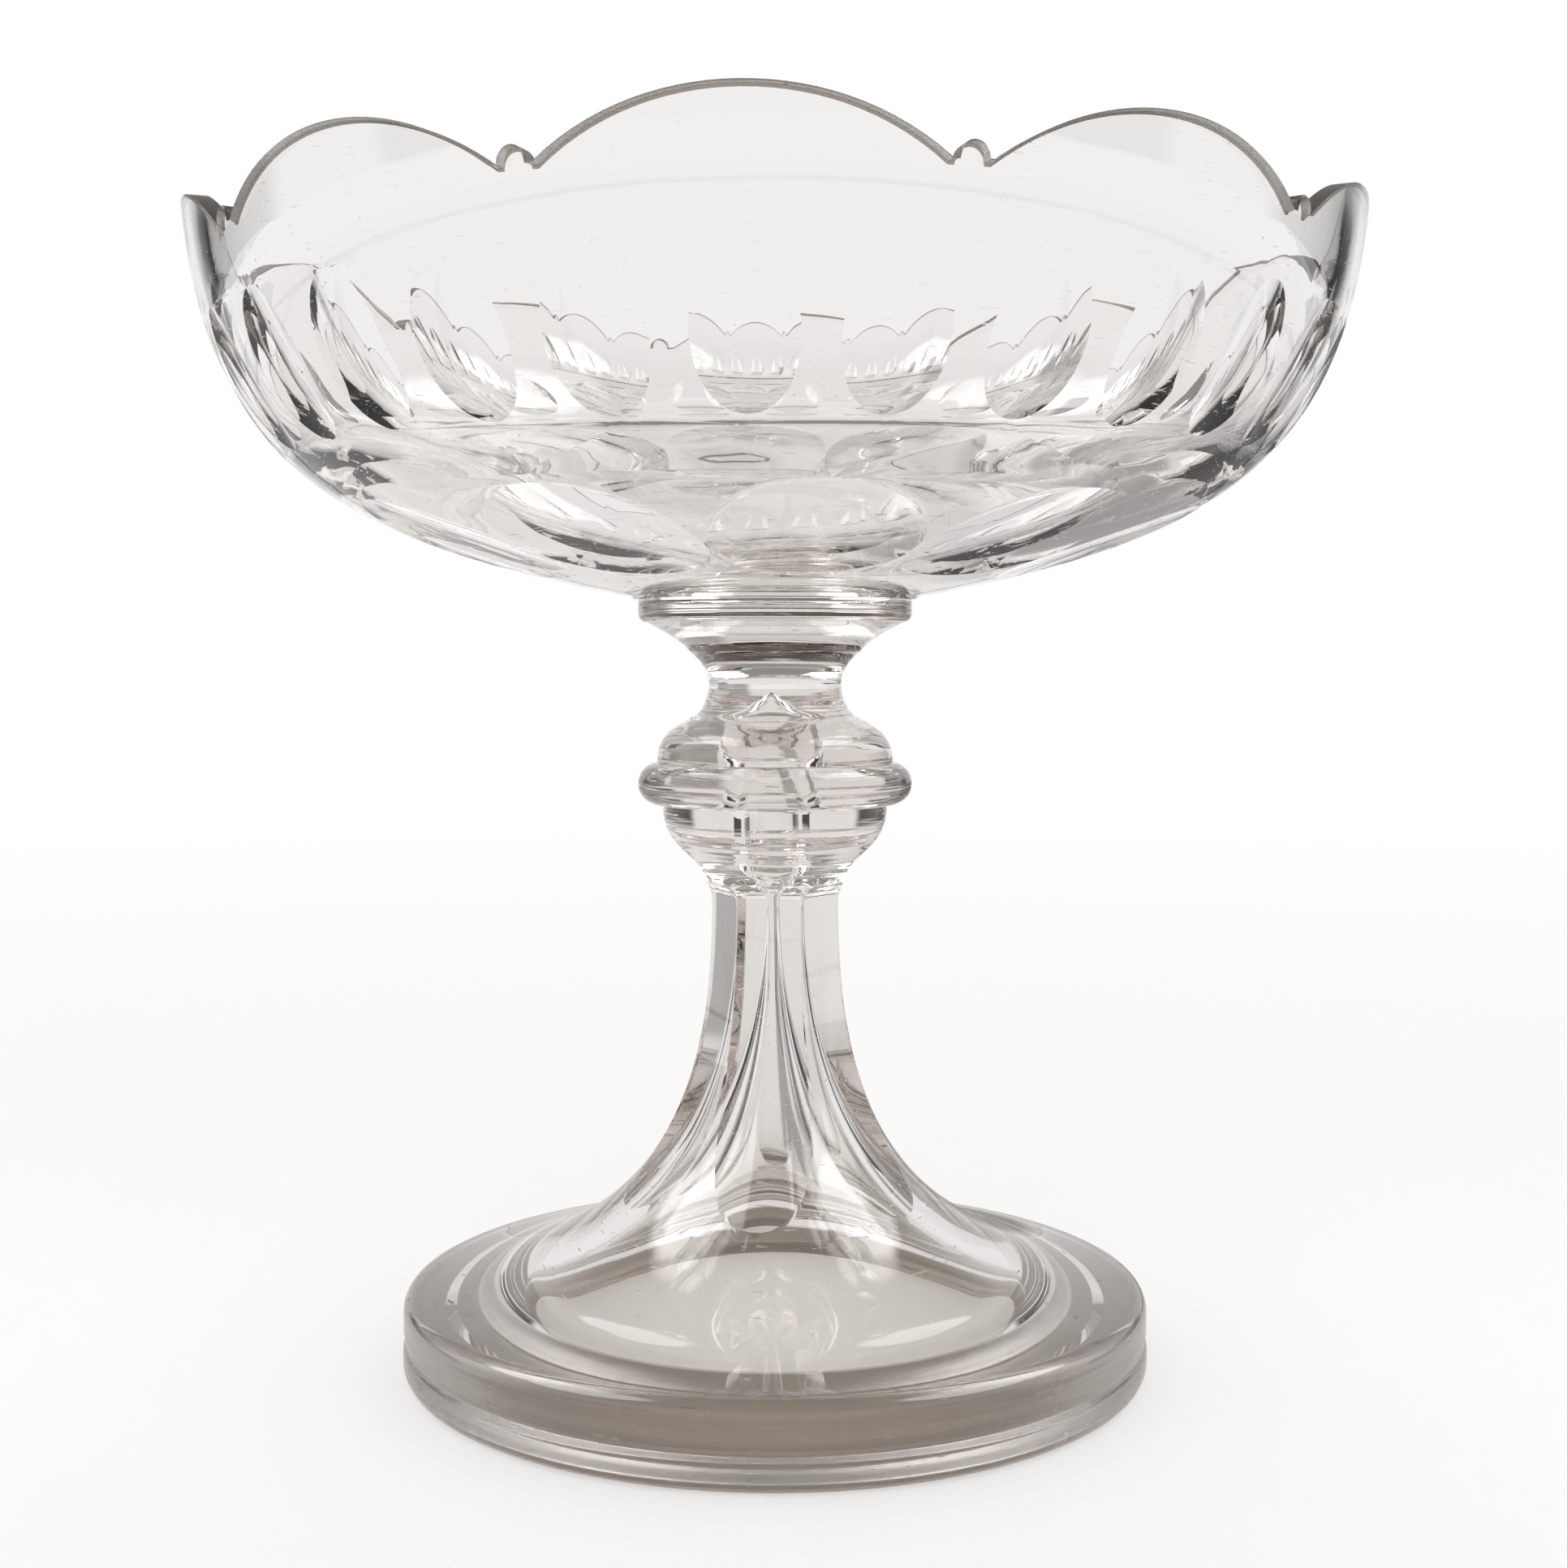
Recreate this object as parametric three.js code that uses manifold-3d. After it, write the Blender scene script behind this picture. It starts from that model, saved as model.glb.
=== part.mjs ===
// A footed glass compote: a cut bowl on a hollow, panelled baluster stem with a thick round foot.
// Millimetres, +Z up, the table at z = 0 and the axis of the stem on Z.
// The object is eight gathers of clear glass, welded hot one on top of another. Each gather is a
// mesh of its own, built from its own lower weld at z = 0 and then lifted to its place.

import * as THREE from 'three';
import { mergeVertices } from 'three/addons/utils/BufferGeometryUtils.js';
import Module from 'manifold-3d';

const wasm = await Module();
wasm.setup();

// Heights of the gathers, from the table up
const FOOT_HEIGHT = 32;
const STEM_HEIGHT = 65.6;
const LOWER_KNOP_HEIGHT = 13.8;
const RING_HEIGHT = 8.5;
const UPPER_KNOP_HEIGHT = 11.1;
const NECK_HEIGHT = 11;
const COLLAR_HEIGHT = 10.4;
const BOWL_HEIGHT = 74.1;
const WELD_LINE = 0.05;          // what the welds leave between two gathers

// Foot: a thick plate whose side has a shallow groove, hollow underneath
const FOOT_RADIUS = 74;
const FOOT_EDGE_HEIGHT = 16.2;   // where the side turns over into the sloping top
const FOOT_SHOULDER = 3.2;       // rounding of the upper edge
const FOOT_HEEL = 3.4;           // rounding of the lower edge
const FOOT_GROOVE_HEIGHT = 7.4;
const FOOT_GROOVE_DEPTH = 0.5;
const FOOT_GROOVE_WIDTH = 3;
const FOOT_BELLY_SET_BACK = 0.1; // the side above the groove stands this much further in
const FOOT_TOP_SLOPE = 0.19;     // rise per millimetre just inside the edge
const MOUTH_RADIUS = 55.3;       // opening of the hollow in the underside
const HOLLOW_SHOULDER_RADIUS = 46;
const HOLLOW_SHOULDER_HEIGHT = 15.5;

// Stem: a round flare cut with flat panels
const PANEL_COUNT = 6;
const PANEL_TURN = -6.5;         // degrees, from the front to the middle of the nearest panel
const COLUMN_RADIUS = 12.8;      // over the corners between the panels
const COLUMN_CONE_HEIGHT = 5.6;  // the round cone that widens again above the column
const STEM_TOP_RADIUS = 14.5;
const PANEL_TIP_ABOVE_FOOT = 1.2;
const PANEL_FADE = 5;            // how late the panels run out into the flare
const PANEL_STOP = 3.2;          // radius that the wheel leaves at the top of a panel
const PANEL_OVERRUN = 1.2;       // how far a panel runs up into the cone

// Knop: two swellings with a ring between them
const LOWER_KNOP_RADIUS = 22.6;
const RING_ROOT_RADIUS = 23.2;
const RING_RADIUS = 27.6;
const UPPER_KNOP_RADIUS = 23.8;
const UPPER_KNOP_TOP_RADIUS = 14.6;

// Neck and collar disc
const WAIST_RADIUS = 13.5;
const NECK_TOP_RADIUS = 17.2;
const COLLAR_RADIUS = 27.6;
const COLLAR_SIDE_HEIGHT = 4.6;
const COLLAR_ROUNDING = 1.8;

// The long bubble inside the stem and the knop
const DOME_RISE = 11;            // how far the hollow of the foot bulges up past its shoulder
const THROAT_RADIUS = 1.3;       // the narrowest place
const THROAT_RISE = 1.2;         // from the top of the column up to the throat
const CONE_BORE_RADIUS = 2.3;    // at the top of the stem
const LOWER_BORE_RADIUS = 4.3;   // inside the lower knop
const RING_BORE_RADIUS = 5.9;    // where the bubble enters the ring
const UPPER_BORE_RADIUS = 7;     // where it leaves the ring
const KNOP_BORE_RADIUS = 8.2;    // its widest place above the stem
const BUBBLE_NECK_RADIUS = 2;    // where it runs out of the upper knop
const LOWER_BORE_AT = 0.45;      // share of the lower knop's height where its bore is measured
const KNOP_BORE_AT = 0.3;        // share of the upper knop's height where the bubble is widest
const BUBBLE_SHOULDER = [0.38, 0.68]; // share of the way in, then up, where it rounds over above that
const BUBBLE_TIP_HEIGHT = 2.6;   // how far its pointed end reaches into the neck

// Bowl
const RIM_RADIUS = 115.8;
const BOWL_SEAT_RADIUS = 28.9;
const BOWL_SEAT_CHAMFER = 0.6;
const BOWL_UNDERSIDE_SLOPE = 0.182;
const BOWL_WALL_LEAN = 0.094;    // radius gained per millimetre of height at the rim
const BOWL_FLOOR = 8.6;
const BOWL_WALL = 4.4;
const BOWL_THINNED_AT = 0.74;    // share of the way along the outline where the wall gets so thin

// Cuts on the bowl
const LOBE_COUNT = 10;
const LOBE_TURN = -2.65;         // degrees, from the front to the middle of the nearest lobe
const LOBE_RISE = 10.5;
const LOBE_GAP = 7.2;            // between the ends of two lobes
const NUB_WIDTH = 5;
const NUB_HEIGHT = 2.7;
const OVAL_COUNT = 28;
const OVAL_TURN = -2.5;
const OVAL_HEIGHT_ABOVE_SEAT = 38.2;
const OVAL_LENGTH = 30;
const OVAL_WIDTH = 17.4;
const OVAL_DEPTH = 2;
const PRINTY_COUNT = 10;
const PRINTY_TURN = 6.35;
const PRINTY_RADIUS = 64.8;      // from the axis to the middle of a printy
const PRINTY_LENGTH = 42;
const PRINTY_WIDTH = 39;
const PRINTY_DEPTH = 1.8;

// How the outlines bend. A curve leaves one end along its first handle and comes in to the other
// along its second. A handle is the share of the way across, then up, from the start to the end.
const CONE_BEND = [[0.12, 0.36], [0.59, 0.71]];
const LOWER_KNOP_BEND = [[0.19, 0.3], [1, 0.38]];
const UPPER_KNOP_BEND = [[0, 0.73], [0.87, 0.69]];
const COLLAR_BEND = [[0.23, 0.45], [0.74, 0.79]];
const MOUTH_BEND = [[0.68, 0.17], [1, 0.5]];
const DOME_SHARE = 0.42;         // of its shoulder: how wide the dome of the hollow is near its top
const NECK_BEND = 0.3;           // how much of the neck's height each end of it takes to straighten
const FLARE_FOOT_SHARE = 0.81;  // how far the flare keeps the slope of the foot
const FLARE_COLUMN_SHARE = 0.55; // and how far it keeps to the column
const BORE_COLUMN_SHARE = 0.51;
const BOWL_UNDERSIDE_SHARE = 0.666;
const BOWL_WALL_SHARE = 0.65;

// How finely the curves are divided
const TURNING_STEPS = 40;
const FOOT_STEPS = 48;
const BOWL_STEPS = 60;
const CURVE_STEPS = 6;
const FINE_STEPS = 60;
const BOWL_STRIDE = 5;           // fine steps for each band of the bowl
const BEND_STRIDE = 3;           // fine steps to each side where a bend is measured
const PANEL_STEPS = 10;
const STONE_STEPS = 12;

// The tools that cut the glass
const STONE_RINGS = [0, 0.55, 1.02, 1.4]; // across a grinding stone, as shares of the cut's edge
const FLATTEST_STONE = 0.0016;   // the least curve of a stone, per millimetre
const LOBE_SHARES = [0, 0.25, 0.45, 0.62, 0.76, 0.88, 1]; // from the top of a lobe to its end
const NUB_ANGLES = [30, 65, 90, 115, 150];
const OVERREACH = 5;             // how far a cutter stands out of the glass
const TINY = 1e-4;

const GLASS_COLOUR = 0xecebe8;
const { lerp, degToRad } = THREE.MathUtils;

// The results of a function of a share that runs from 0 to 1 in even steps
function spread(steps, make) {
  return Array.from({ length: steps + 1 }, (_, i) => make(i / steps));
}

function point(r, z) {
  return new THREE.Vector2(r, z);
}

// Points along a cubic curve in the (radius, height) plane, from its ends and its two handles
function cubic(start, leave, arrive, end, steps = CURVE_STEPS) {
  const ends = [start, leave, arrive, end].map((place) => point(...place));
  return new THREE.CubicBezierCurve(...ends).getPoints(steps);
}

// The same from one end to the other, with a bend
function bow(start, end, bend, steps = CURVE_STEPS) {
  const [leave, arrive] = bend.map((shares) => shares.map((share, i) => lerp(start[i], end[i], share)));
  return cubic(start, leave, arrive, end, steps);
}

// Points along a quarter of an ellipse, anticlockwise from an angle in degrees
function quarter(centre, reach, from, steps = 3) {
  return spread(steps, (share) => {
    const angle = degToRad(from + 90 * share);
    return point(centre[0] + reach[0] * Math.cos(angle), centre[1] + reach[1] * Math.sin(angle));
  });
}

// Leaves out points that lie on the one before
function tidy(points) {
  return points.filter((p, i) => i === 0 || p.distanceTo(points[i - 1]) > TINY);
}

// Turns a closed outline about Z. The outline runs up the outside and back down the inside.
function turned(points, steps = TURNING_STEPS) {
  const outline = tidy(points);
  const geometry = new THREE.LatheGeometry([...outline, outline[0].clone()], steps);
  geometry.rotateX(Math.PI / 2);
  return solid(geometry);
}

// A closed mesh as a solid that can be cut, turned outside out if it was built inside out
function solid(geometry) {
  const bare = geometry.clone();
  bare.deleteAttribute('normal');
  bare.deleteAttribute('uv');
  const merged = mergeVertices(bare, TINY);
  const vertProperties = Float32Array.from(merged.attributes.position.array);
  const triVerts = Uint32Array.from(merged.index.array);
  const made = new wasm.Manifold(new wasm.Mesh({ numProp: 3, vertProperties, triVerts }));
  if (made.volume() > 0) return made;
  for (let i = 0; i < triVerts.length; i += 3) {
    [triVerts[i], triVerts[i + 1]] = [triVerts[i + 1], triVerts[i]];
  }
  return new wasm.Manifold(new wasm.Mesh({ numProp: 3, vertProperties, triVerts }));
}

// A solid as geometry that three.js can show
function geometryOf(made) {
  const mesh = made.getMesh();
  const geometry = new THREE.BufferGeometry();
  geometry.setAttribute('position', new THREE.BufferAttribute(Float32Array.from(mesh.vertProperties), 3));
  geometry.setIndex(new THREE.BufferAttribute(Uint32Array.from(mesh.triVerts), 1));
  geometry.computeVertexNormals();
  return geometry;
}

// Turns an angle measured from the front, which is the side towards -Y, into one about +Z
function fromFront(degrees) {
  return degToRad(degrees - 90);
}

// Radius of a rising line of points at a height
function radiusAt(line, height) {
  const i = line.findIndex((p, n) => n > 0 && p.y >= height - TINY);
  if (i < 1) return line.at(-1).x;
  const [a, b] = [line[i - 1], line[i]];
  return lerp(a.x, b.x, (height - a.y) / (b.y - a.y));
}

// The part of a rising line between two heights, in even steps of height, lowered by the floor's
function stretch(line, from, to, steps, floor) {
  return spread(steps, (share) => {
    const height = lerp(from, to, share);
    return point(radiusAt(line, height), height - floor);
  });
}

// The outside of the foot and the stem is one flare, from the edge of the foot up to the column
const stemFloor = FOOT_HEIGHT + WELD_LINE;
const columnTop = stemFloor + STEM_HEIGHT - COLUMN_CONE_HEIGHT;
const flareEdge = FOOT_RADIUS - FOOT_SHOULDER;
const flareAlong = FLARE_FOOT_SHARE * (flareEdge - COLUMN_RADIUS);
const flare = cubic(
  [flareEdge, FOOT_EDGE_HEIGHT],
  [flareEdge - flareAlong, FOOT_EDGE_HEIGHT + flareAlong * FOOT_TOP_SLOPE],
  [COLUMN_RADIUS, lerp(columnTop, FOOT_EDGE_HEIGHT, FLARE_COLUMN_SHARE)],
  [COLUMN_RADIUS, columnTop],
  FINE_STEPS,
);

// The bubble follows the flare inside, from the hollow of the foot up to the throat
const throatHeight = columnTop + THROAT_RISE;
const bore = cubic(
  [HOLLOW_SHOULDER_RADIUS, HOLLOW_SHOULDER_HEIGHT],
  [DOME_SHARE * HOLLOW_SHOULDER_RADIUS, HOLLOW_SHOULDER_HEIGHT + DOME_RISE],
  [THROAT_RADIUS, lerp(throatHeight, HOLLOW_SHOULDER_HEIGHT, BORE_COLUMN_SHARE)],
  [THROAT_RADIUS, throatHeight],
  FINE_STEPS,
);

// The bubble above the throat, up from the top of the stem
const ringTop = LOWER_KNOP_HEIGHT + RING_HEIGHT;
const knopBore = new THREE.SplineCurve([
  point(CONE_BORE_RADIUS, 0),
  point(LOWER_BORE_RADIUS, LOWER_BORE_AT * LOWER_KNOP_HEIGHT),
  point(RING_BORE_RADIUS, LOWER_KNOP_HEIGHT),
  point(UPPER_BORE_RADIUS, ringTop),
  point(KNOP_BORE_RADIUS, ringTop + KNOP_BORE_AT * UPPER_KNOP_HEIGHT),
  point(
    lerp(KNOP_BORE_RADIUS, BUBBLE_NECK_RADIUS, BUBBLE_SHOULDER[0]),
    ringTop + BUBBLE_SHOULDER[1] * UPPER_KNOP_HEIGHT,
  ),
  point(BUBBLE_NECK_RADIUS, ringTop + UPPER_KNOP_HEIGHT),
]).getPoints(FINE_STEPS);

function foot() {
  const belly = FOOT_RADIUS - FOOT_BELLY_SET_BACK;
  const half = FOOT_GROOVE_WIDTH / 2;
  const outside = [
    ...quarter([FOOT_RADIUS - FOOT_HEEL, FOOT_HEEL], [FOOT_HEEL, FOOT_HEEL], -90),
    point(FOOT_RADIUS, FOOT_GROOVE_HEIGHT - half),
    point(FOOT_RADIUS - FOOT_GROOVE_DEPTH, FOOT_GROOVE_HEIGHT),
    point(belly, FOOT_GROOVE_HEIGHT + half),
    ...quarter([belly - FOOT_SHOULDER, FOOT_EDGE_HEIGHT - FOOT_SHOULDER], [FOOT_SHOULDER, FOOT_SHOULDER], 0),
    ...stretch(flare, FOOT_EDGE_HEIGHT, FOOT_HEIGHT, 6, 0),
  ];
  const hollow = [
    ...stretch(bore, HOLLOW_SHOULDER_HEIGHT, FOOT_HEIGHT, 4, 0).reverse(),
    ...bow([HOLLOW_SHOULDER_RADIUS, HOLLOW_SHOULDER_HEIGHT], [MOUTH_RADIUS, 0], MOUTH_BEND, 4),
  ];
  return turned([...outside, ...hollow], FOOT_STEPS);
}

// The stem is turned, then each panel is cut away by a block whose face follows the flare
function stem() {
  const coneFoot = STEM_HEIGHT - COLUMN_CONE_HEIGHT;
  const outside = [
    ...stretch(flare, stemFloor, columnTop, 12, stemFloor),
    ...bow([COLUMN_RADIUS, coneFoot], [STEM_TOP_RADIUS, STEM_HEIGHT], CONE_BEND, 4),
  ];
  const inside = [
    point(CONE_BORE_RADIUS, STEM_HEIGHT),
    ...stretch(bore, stemFloor, throatHeight, 9, stemFloor).reverse(),
  ];
  let made = turned([...outside, ...inside]);
  for (let i = 0; i < PANEL_COUNT; i += 1) {
    made = made.subtract(panelCutter(fromFront(PANEL_TURN + (360 * i) / PANEL_COUNT)));
  }
  return made;
}

// A block that grinds one panel. Its face is flat across, and its distance from the axis grows
// downwards from that of a regular prism's side until it meets the round flare at the tip.
function panelCutter(angle) {
  const coneFoot = STEM_HEIGHT - COLUMN_CONE_HEIGHT;
  const across = Math.cos(Math.PI / PANEL_COUNT);
  const face = spread(PANEL_STEPS, (share) => {
    const height = lerp(PANEL_TIP_ABOVE_FOOT, coneFoot, share);
    const depth = lerp(across, 1, (1 - share) ** PANEL_FADE);
    return point(radiusAt(flare, height + stemFloor) * depth, height);
  });
  const stopCentre = [COLUMN_RADIUS * across + PANEL_STOP, coneFoot + PANEL_OVERRUN];
  const far = FOOT_RADIUS / 2;
  const shape = new THREE.Shape(tidy([
    ...face,
    ...quarter(stopCentre, [-PANEL_STOP, PANEL_STOP], 0, 4),
    point(far, stopCentre[1] + PANEL_STOP),
    point(far, PANEL_TIP_ABOVE_FOOT),
  ]));
  const block = new THREE.ExtrudeGeometry(shape, { depth: FOOT_RADIUS, bevelEnabled: false });
  block.translate(0, 0, -FOOT_RADIUS / 2);
  block.rotateX(Math.PI / 2);
  block.rotateZ(angle);
  return solid(block);
}

function lowerKnop() {
  const outside = bow([STEM_TOP_RADIUS, 0], [LOWER_KNOP_RADIUS, LOWER_KNOP_HEIGHT], LOWER_KNOP_BEND);
  return turned([...outside, ...stretch(knopBore, 0, LOWER_KNOP_HEIGHT, 4, 0).reverse()]);
}

function knopRing() {
  const half = RING_HEIGHT / 2;
  const swell = [RING_RADIUS - RING_ROOT_RADIUS, half];
  const outside = [
    ...quarter([RING_ROOT_RADIUS, half], swell, -90),
    ...quarter([RING_ROOT_RADIUS, half], swell, 0),
  ];
  const inside = stretch(knopBore, LOWER_KNOP_HEIGHT, ringTop, 2, LOWER_KNOP_HEIGHT).reverse();
  return turned([...outside, ...inside]);
}

function upperKnop() {
  const outside = bow([UPPER_KNOP_RADIUS, 0], [UPPER_KNOP_TOP_RADIUS, UPPER_KNOP_HEIGHT], UPPER_KNOP_BEND);
  const inside = stretch(knopBore, ringTop, ringTop + UPPER_KNOP_HEIGHT, 4, ringTop).reverse();
  return turned([...outside, ...inside]);
}

// The two handles of the neck's outline stand at the one radius that gives it its waist halfway up
function neck() {
  const handle = (8 * WAIST_RADIUS - UPPER_KNOP_TOP_RADIUS - NECK_TOP_RADIUS) / 6;
  const outside = cubic(
    [UPPER_KNOP_TOP_RADIUS, 0],
    [handle, NECK_BEND * NECK_HEIGHT],
    [handle, (1 - NECK_BEND) * NECK_HEIGHT],
    [NECK_TOP_RADIUS, NECK_HEIGHT],
  );
  const bubbleTip = [point(0, BUBBLE_TIP_HEIGHT), point(BUBBLE_NECK_RADIUS, 0)];
  return turned([...outside, point(0, NECK_HEIGHT), ...bubbleTip]);
}

function collarDisc() {
  const under = COLLAR_HEIGHT - COLLAR_SIDE_HEIGHT;
  const turn = COLLAR_RADIUS - COLLAR_ROUNDING;
  return turned([
    point(0, 0),
    ...bow([NECK_TOP_RADIUS, 0], [turn, under], COLLAR_BEND, 4),
    ...quarter([turn, under + COLLAR_ROUNDING], [COLLAR_ROUNDING, COLLAR_ROUNDING], -90),
    point(COLLAR_RADIUS, COLLAR_HEIGHT),
    point(0, COLLAR_HEIGHT),
  ]);
}

// The outside of the bowl, from its seat on the collar disc up to the rim
const bowlAlong = BOWL_UNDERSIDE_SHARE * (RIM_RADIUS - BOWL_SEAT_RADIUS);
const bowlOutside = cubic(
  [BOWL_SEAT_RADIUS, BOWL_SEAT_CHAMFER],
  [BOWL_SEAT_RADIUS + bowlAlong, BOWL_SEAT_CHAMFER + bowlAlong * BOWL_UNDERSIDE_SLOPE],
  [RIM_RADIUS - BOWL_WALL_SHARE * BOWL_HEIGHT * BOWL_WALL_LEAN, (1 - BOWL_WALL_SHARE) * BOWL_HEIGHT],
  [RIM_RADIUS, BOWL_HEIGHT],
  FINE_STEPS,
);

// The way out of the glass at a point of the outside
function outward(index) {
  const before = bowlOutside[Math.max(index - 1, 0)];
  const after = bowlOutside[Math.min(index + 1, FINE_STEPS)];
  const along = after.clone().sub(before).normalize();
  return point(along.y, -along.x);
}

// The bowl before it is cut. Its inside lies a wall further in than its outside, square to it.
function bowlBlank() {
  const inside = bowlOutside.map((p, i) => {
    const wall = lerp(BOWL_FLOOR, BOWL_WALL, Math.min(1, i / (FINE_STEPS * BOWL_THINNED_AT)));
    return p.clone().addScaledVector(outward(i), -wall);
  });
  const bands = (line) => line.slice(0, -1).filter((p, i) => i % BOWL_STRIDE === 0);
  return turned([
    point(0, 0),
    point(BOWL_SEAT_RADIUS - BOWL_SEAT_CHAMFER, 0),
    ...bands(bowlOutside),
    point(RIM_RADIUS, BOWL_HEIGHT),
    point(inside.at(-1).x, BOWL_HEIGHT),
    ...bands(inside).reverse(),
    point(0, BOWL_FLOOR),
  ], BOWL_STEPS);
}

// What is ground away above the rim between the tops of two neighbouring lobes. Each lobe is an
// arc of a circle, and a small rounded nub stands between two notches where they would meet.
function gapCutter(angle) {
  const half = RIM_RADIUS * Math.sin(Math.PI / LOBE_COUNT);
  const reach = half - LOBE_GAP / 2;
  const radius = (reach ** 2 + LOBE_RISE ** 2) / (2 * LOBE_RISE);
  const valley = BOWL_HEIGHT - LOBE_RISE;
  const right = LOBE_SHARES.map((share) => {
    const along = reach * share;
    return point(half - along, BOWL_HEIGHT - radius + Math.sqrt(radius ** 2 - along ** 2));
  });
  const nub = NUB_ANGLES.map((degrees) => {
    const a = degToRad(degrees);
    return point((NUB_WIDTH / 2) * Math.cos(a), valley + NUB_HEIGHT * Math.sin(a));
  });
  const shape = new THREE.Shape([
    point(half, BOWL_HEIGHT + OVERREACH),
    ...right,
    point(NUB_WIDTH / 2, valley),
    ...nub,
    point(-NUB_WIDTH / 2, valley),
    ...right.map((p) => point(-p.x, p.y)).reverse(),
    point(-half, BOWL_HEIGHT + OVERREACH),
  ].reverse());
  const innermost = RIM_RADIUS * Math.cos(Math.PI / LOBE_COUNT) - 2 * (BOWL_WALL + OVERREACH);
  const depth = RIM_RADIUS + OVERREACH - innermost;
  const block = new THREE.ExtrudeGeometry(shape, { depth, bevelEnabled: false });
  block.rotateX(Math.PI / 2);
  block.rotateZ(Math.PI / 2);
  block.translate(innermost, 0, 0);
  block.rotateZ(angle);
  return solid(block);
}

// Index of the point of the bowl's outside that is nearest to a height or a radius
function nearest(axis, value) {
  const misses = bowlOutside.map((p) => Math.abs(p[axis] - value));
  return misses.indexOf(Math.min(...misses));
}

// How sharply the bowl curves up its wall at a point, from the circle through its neighbours
function bendUp(index) {
  const [a, b, c] = [index - BEND_STRIDE, index, index + BEND_STRIDE].map((i) => bowlOutside[i]);
  const twiceArea = Math.abs((b.x - a.x) * (c.y - a.y) - (b.y - a.y) * (c.x - a.x));
  return (2 * twiceArea) / (a.distanceTo(b) * b.distanceTo(c) * c.distanceTo(a));
}

// Half of how far a stone reaches, so that the hollow it grinds into glass of a bend spans as much
function stoneReach(span, depth, bend) {
  return Math.sqrt((2 * depth) / Math.max((8 * depth) / span ** 2 - bend, FLATTEST_STONE));
}

// What a rounded stone grinds out at a point of the bowl. Its face is a dish whose curves are
// such that the hollow comes out as long up the wall, and as wide, as asked for its depth.
function stoneCutter(index, length, width, depth, angle) {
  const spot = bowlOutside[index];
  const out = outward(index);
  const dish = STONE_RINGS.map((ring) => point(ring, depth * (ring ** 2 - 1)));
  const stone = new THREE.LatheGeometry([...dish, point(0, dish.at(-1).y)], STONE_STEPS);
  stone.scale(
    stoneReach(width, depth, Math.abs(out.x) / spot.x),
    1,
    stoneReach(length, depth, bendUp(index)),
  );
  stone.rotateX(Math.PI / 2);
  stone.applyMatrix4(new THREE.Matrix4().makeBasis(
    new THREE.Vector3(0, 1, 0),
    new THREE.Vector3(-out.y, 0, out.x),
    new THREE.Vector3(out.x, 0, out.y),
  ));
  stone.translate(spot.x, 0, spot.y);
  stone.rotateZ(angle);
  return solid(stone);
}

function bowl() {
  let made = bowlBlank();
  const oval = nearest('y', OVAL_HEIGHT_ABOVE_SEAT);
  const printy = nearest('x', PRINTY_RADIUS);
  for (let i = 0; i < OVAL_COUNT; i += 1) {
    const angle = fromFront(OVAL_TURN + (360 * i) / OVAL_COUNT);
    made = made.subtract(stoneCutter(oval, OVAL_LENGTH, OVAL_WIDTH, OVAL_DEPTH, angle));
  }
  for (let i = 0; i < PRINTY_COUNT; i += 1) {
    const angle = fromFront(PRINTY_TURN + (360 * i) / PRINTY_COUNT);
    made = made.subtract(stoneCutter(printy, PRINTY_LENGTH, PRINTY_WIDTH, PRINTY_DEPTH, angle));
  }
  for (let i = 0; i < LOBE_COUNT; i += 1) {
    made = made.subtract(gapCutter(fromFront(LOBE_TURN + (360 * (i + 0.5)) / LOBE_COUNT)));
  }
  return made;
}

// The gathers in the order in which they stand on each other
const gathers = [
  ['foot', foot, FOOT_HEIGHT],
  ['stem', stem, STEM_HEIGHT],
  ['lower_knop', lowerKnop, LOWER_KNOP_HEIGHT],
  ['knop_ring', knopRing, RING_HEIGHT],
  ['upper_knop', upperKnop, UPPER_KNOP_HEIGHT],
  ['neck', neck, NECK_HEIGHT],
  ['collar_disc', collarDisc, COLLAR_HEIGHT],
  ['bowl', bowl, BOWL_HEIGHT],
];

const compote = new THREE.Group();
let level = 0;
for (const [name, make, height] of gathers) {
  const material = new THREE.MeshStandardMaterial({
    color: GLASS_COLOUR,
    roughness: 0.04,
    metalness: 0,
    transparent: true,
    opacity: 0.4,
  });
  const mesh = new THREE.Mesh(geometryOf(make()), material);
  mesh.name = name;
  mesh.position.z = level;
  compote.add(mesh);
  level += height + WELD_LINE;
}

export default compote;
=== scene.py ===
"""A footed glass compote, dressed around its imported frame.

The compote is eight gathers of clear soda glass, welded hot one on top of another: a foot, a
panelled stem, a knop in three parts, a neck, a collar disc and a cut bowl. Every gather here is a
closed skin of its own. Where two gathers are welded their skins meet face to face, and those
faces let light straight through, as there is no surface inside a hot weld.

Sizes are millimetres and heights stand above the table. Angles are measured from the front, the
side towards -Y, and grow towards +X.
"""

import logging
import math
from dataclasses import dataclass, field
from enum import Enum

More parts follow.
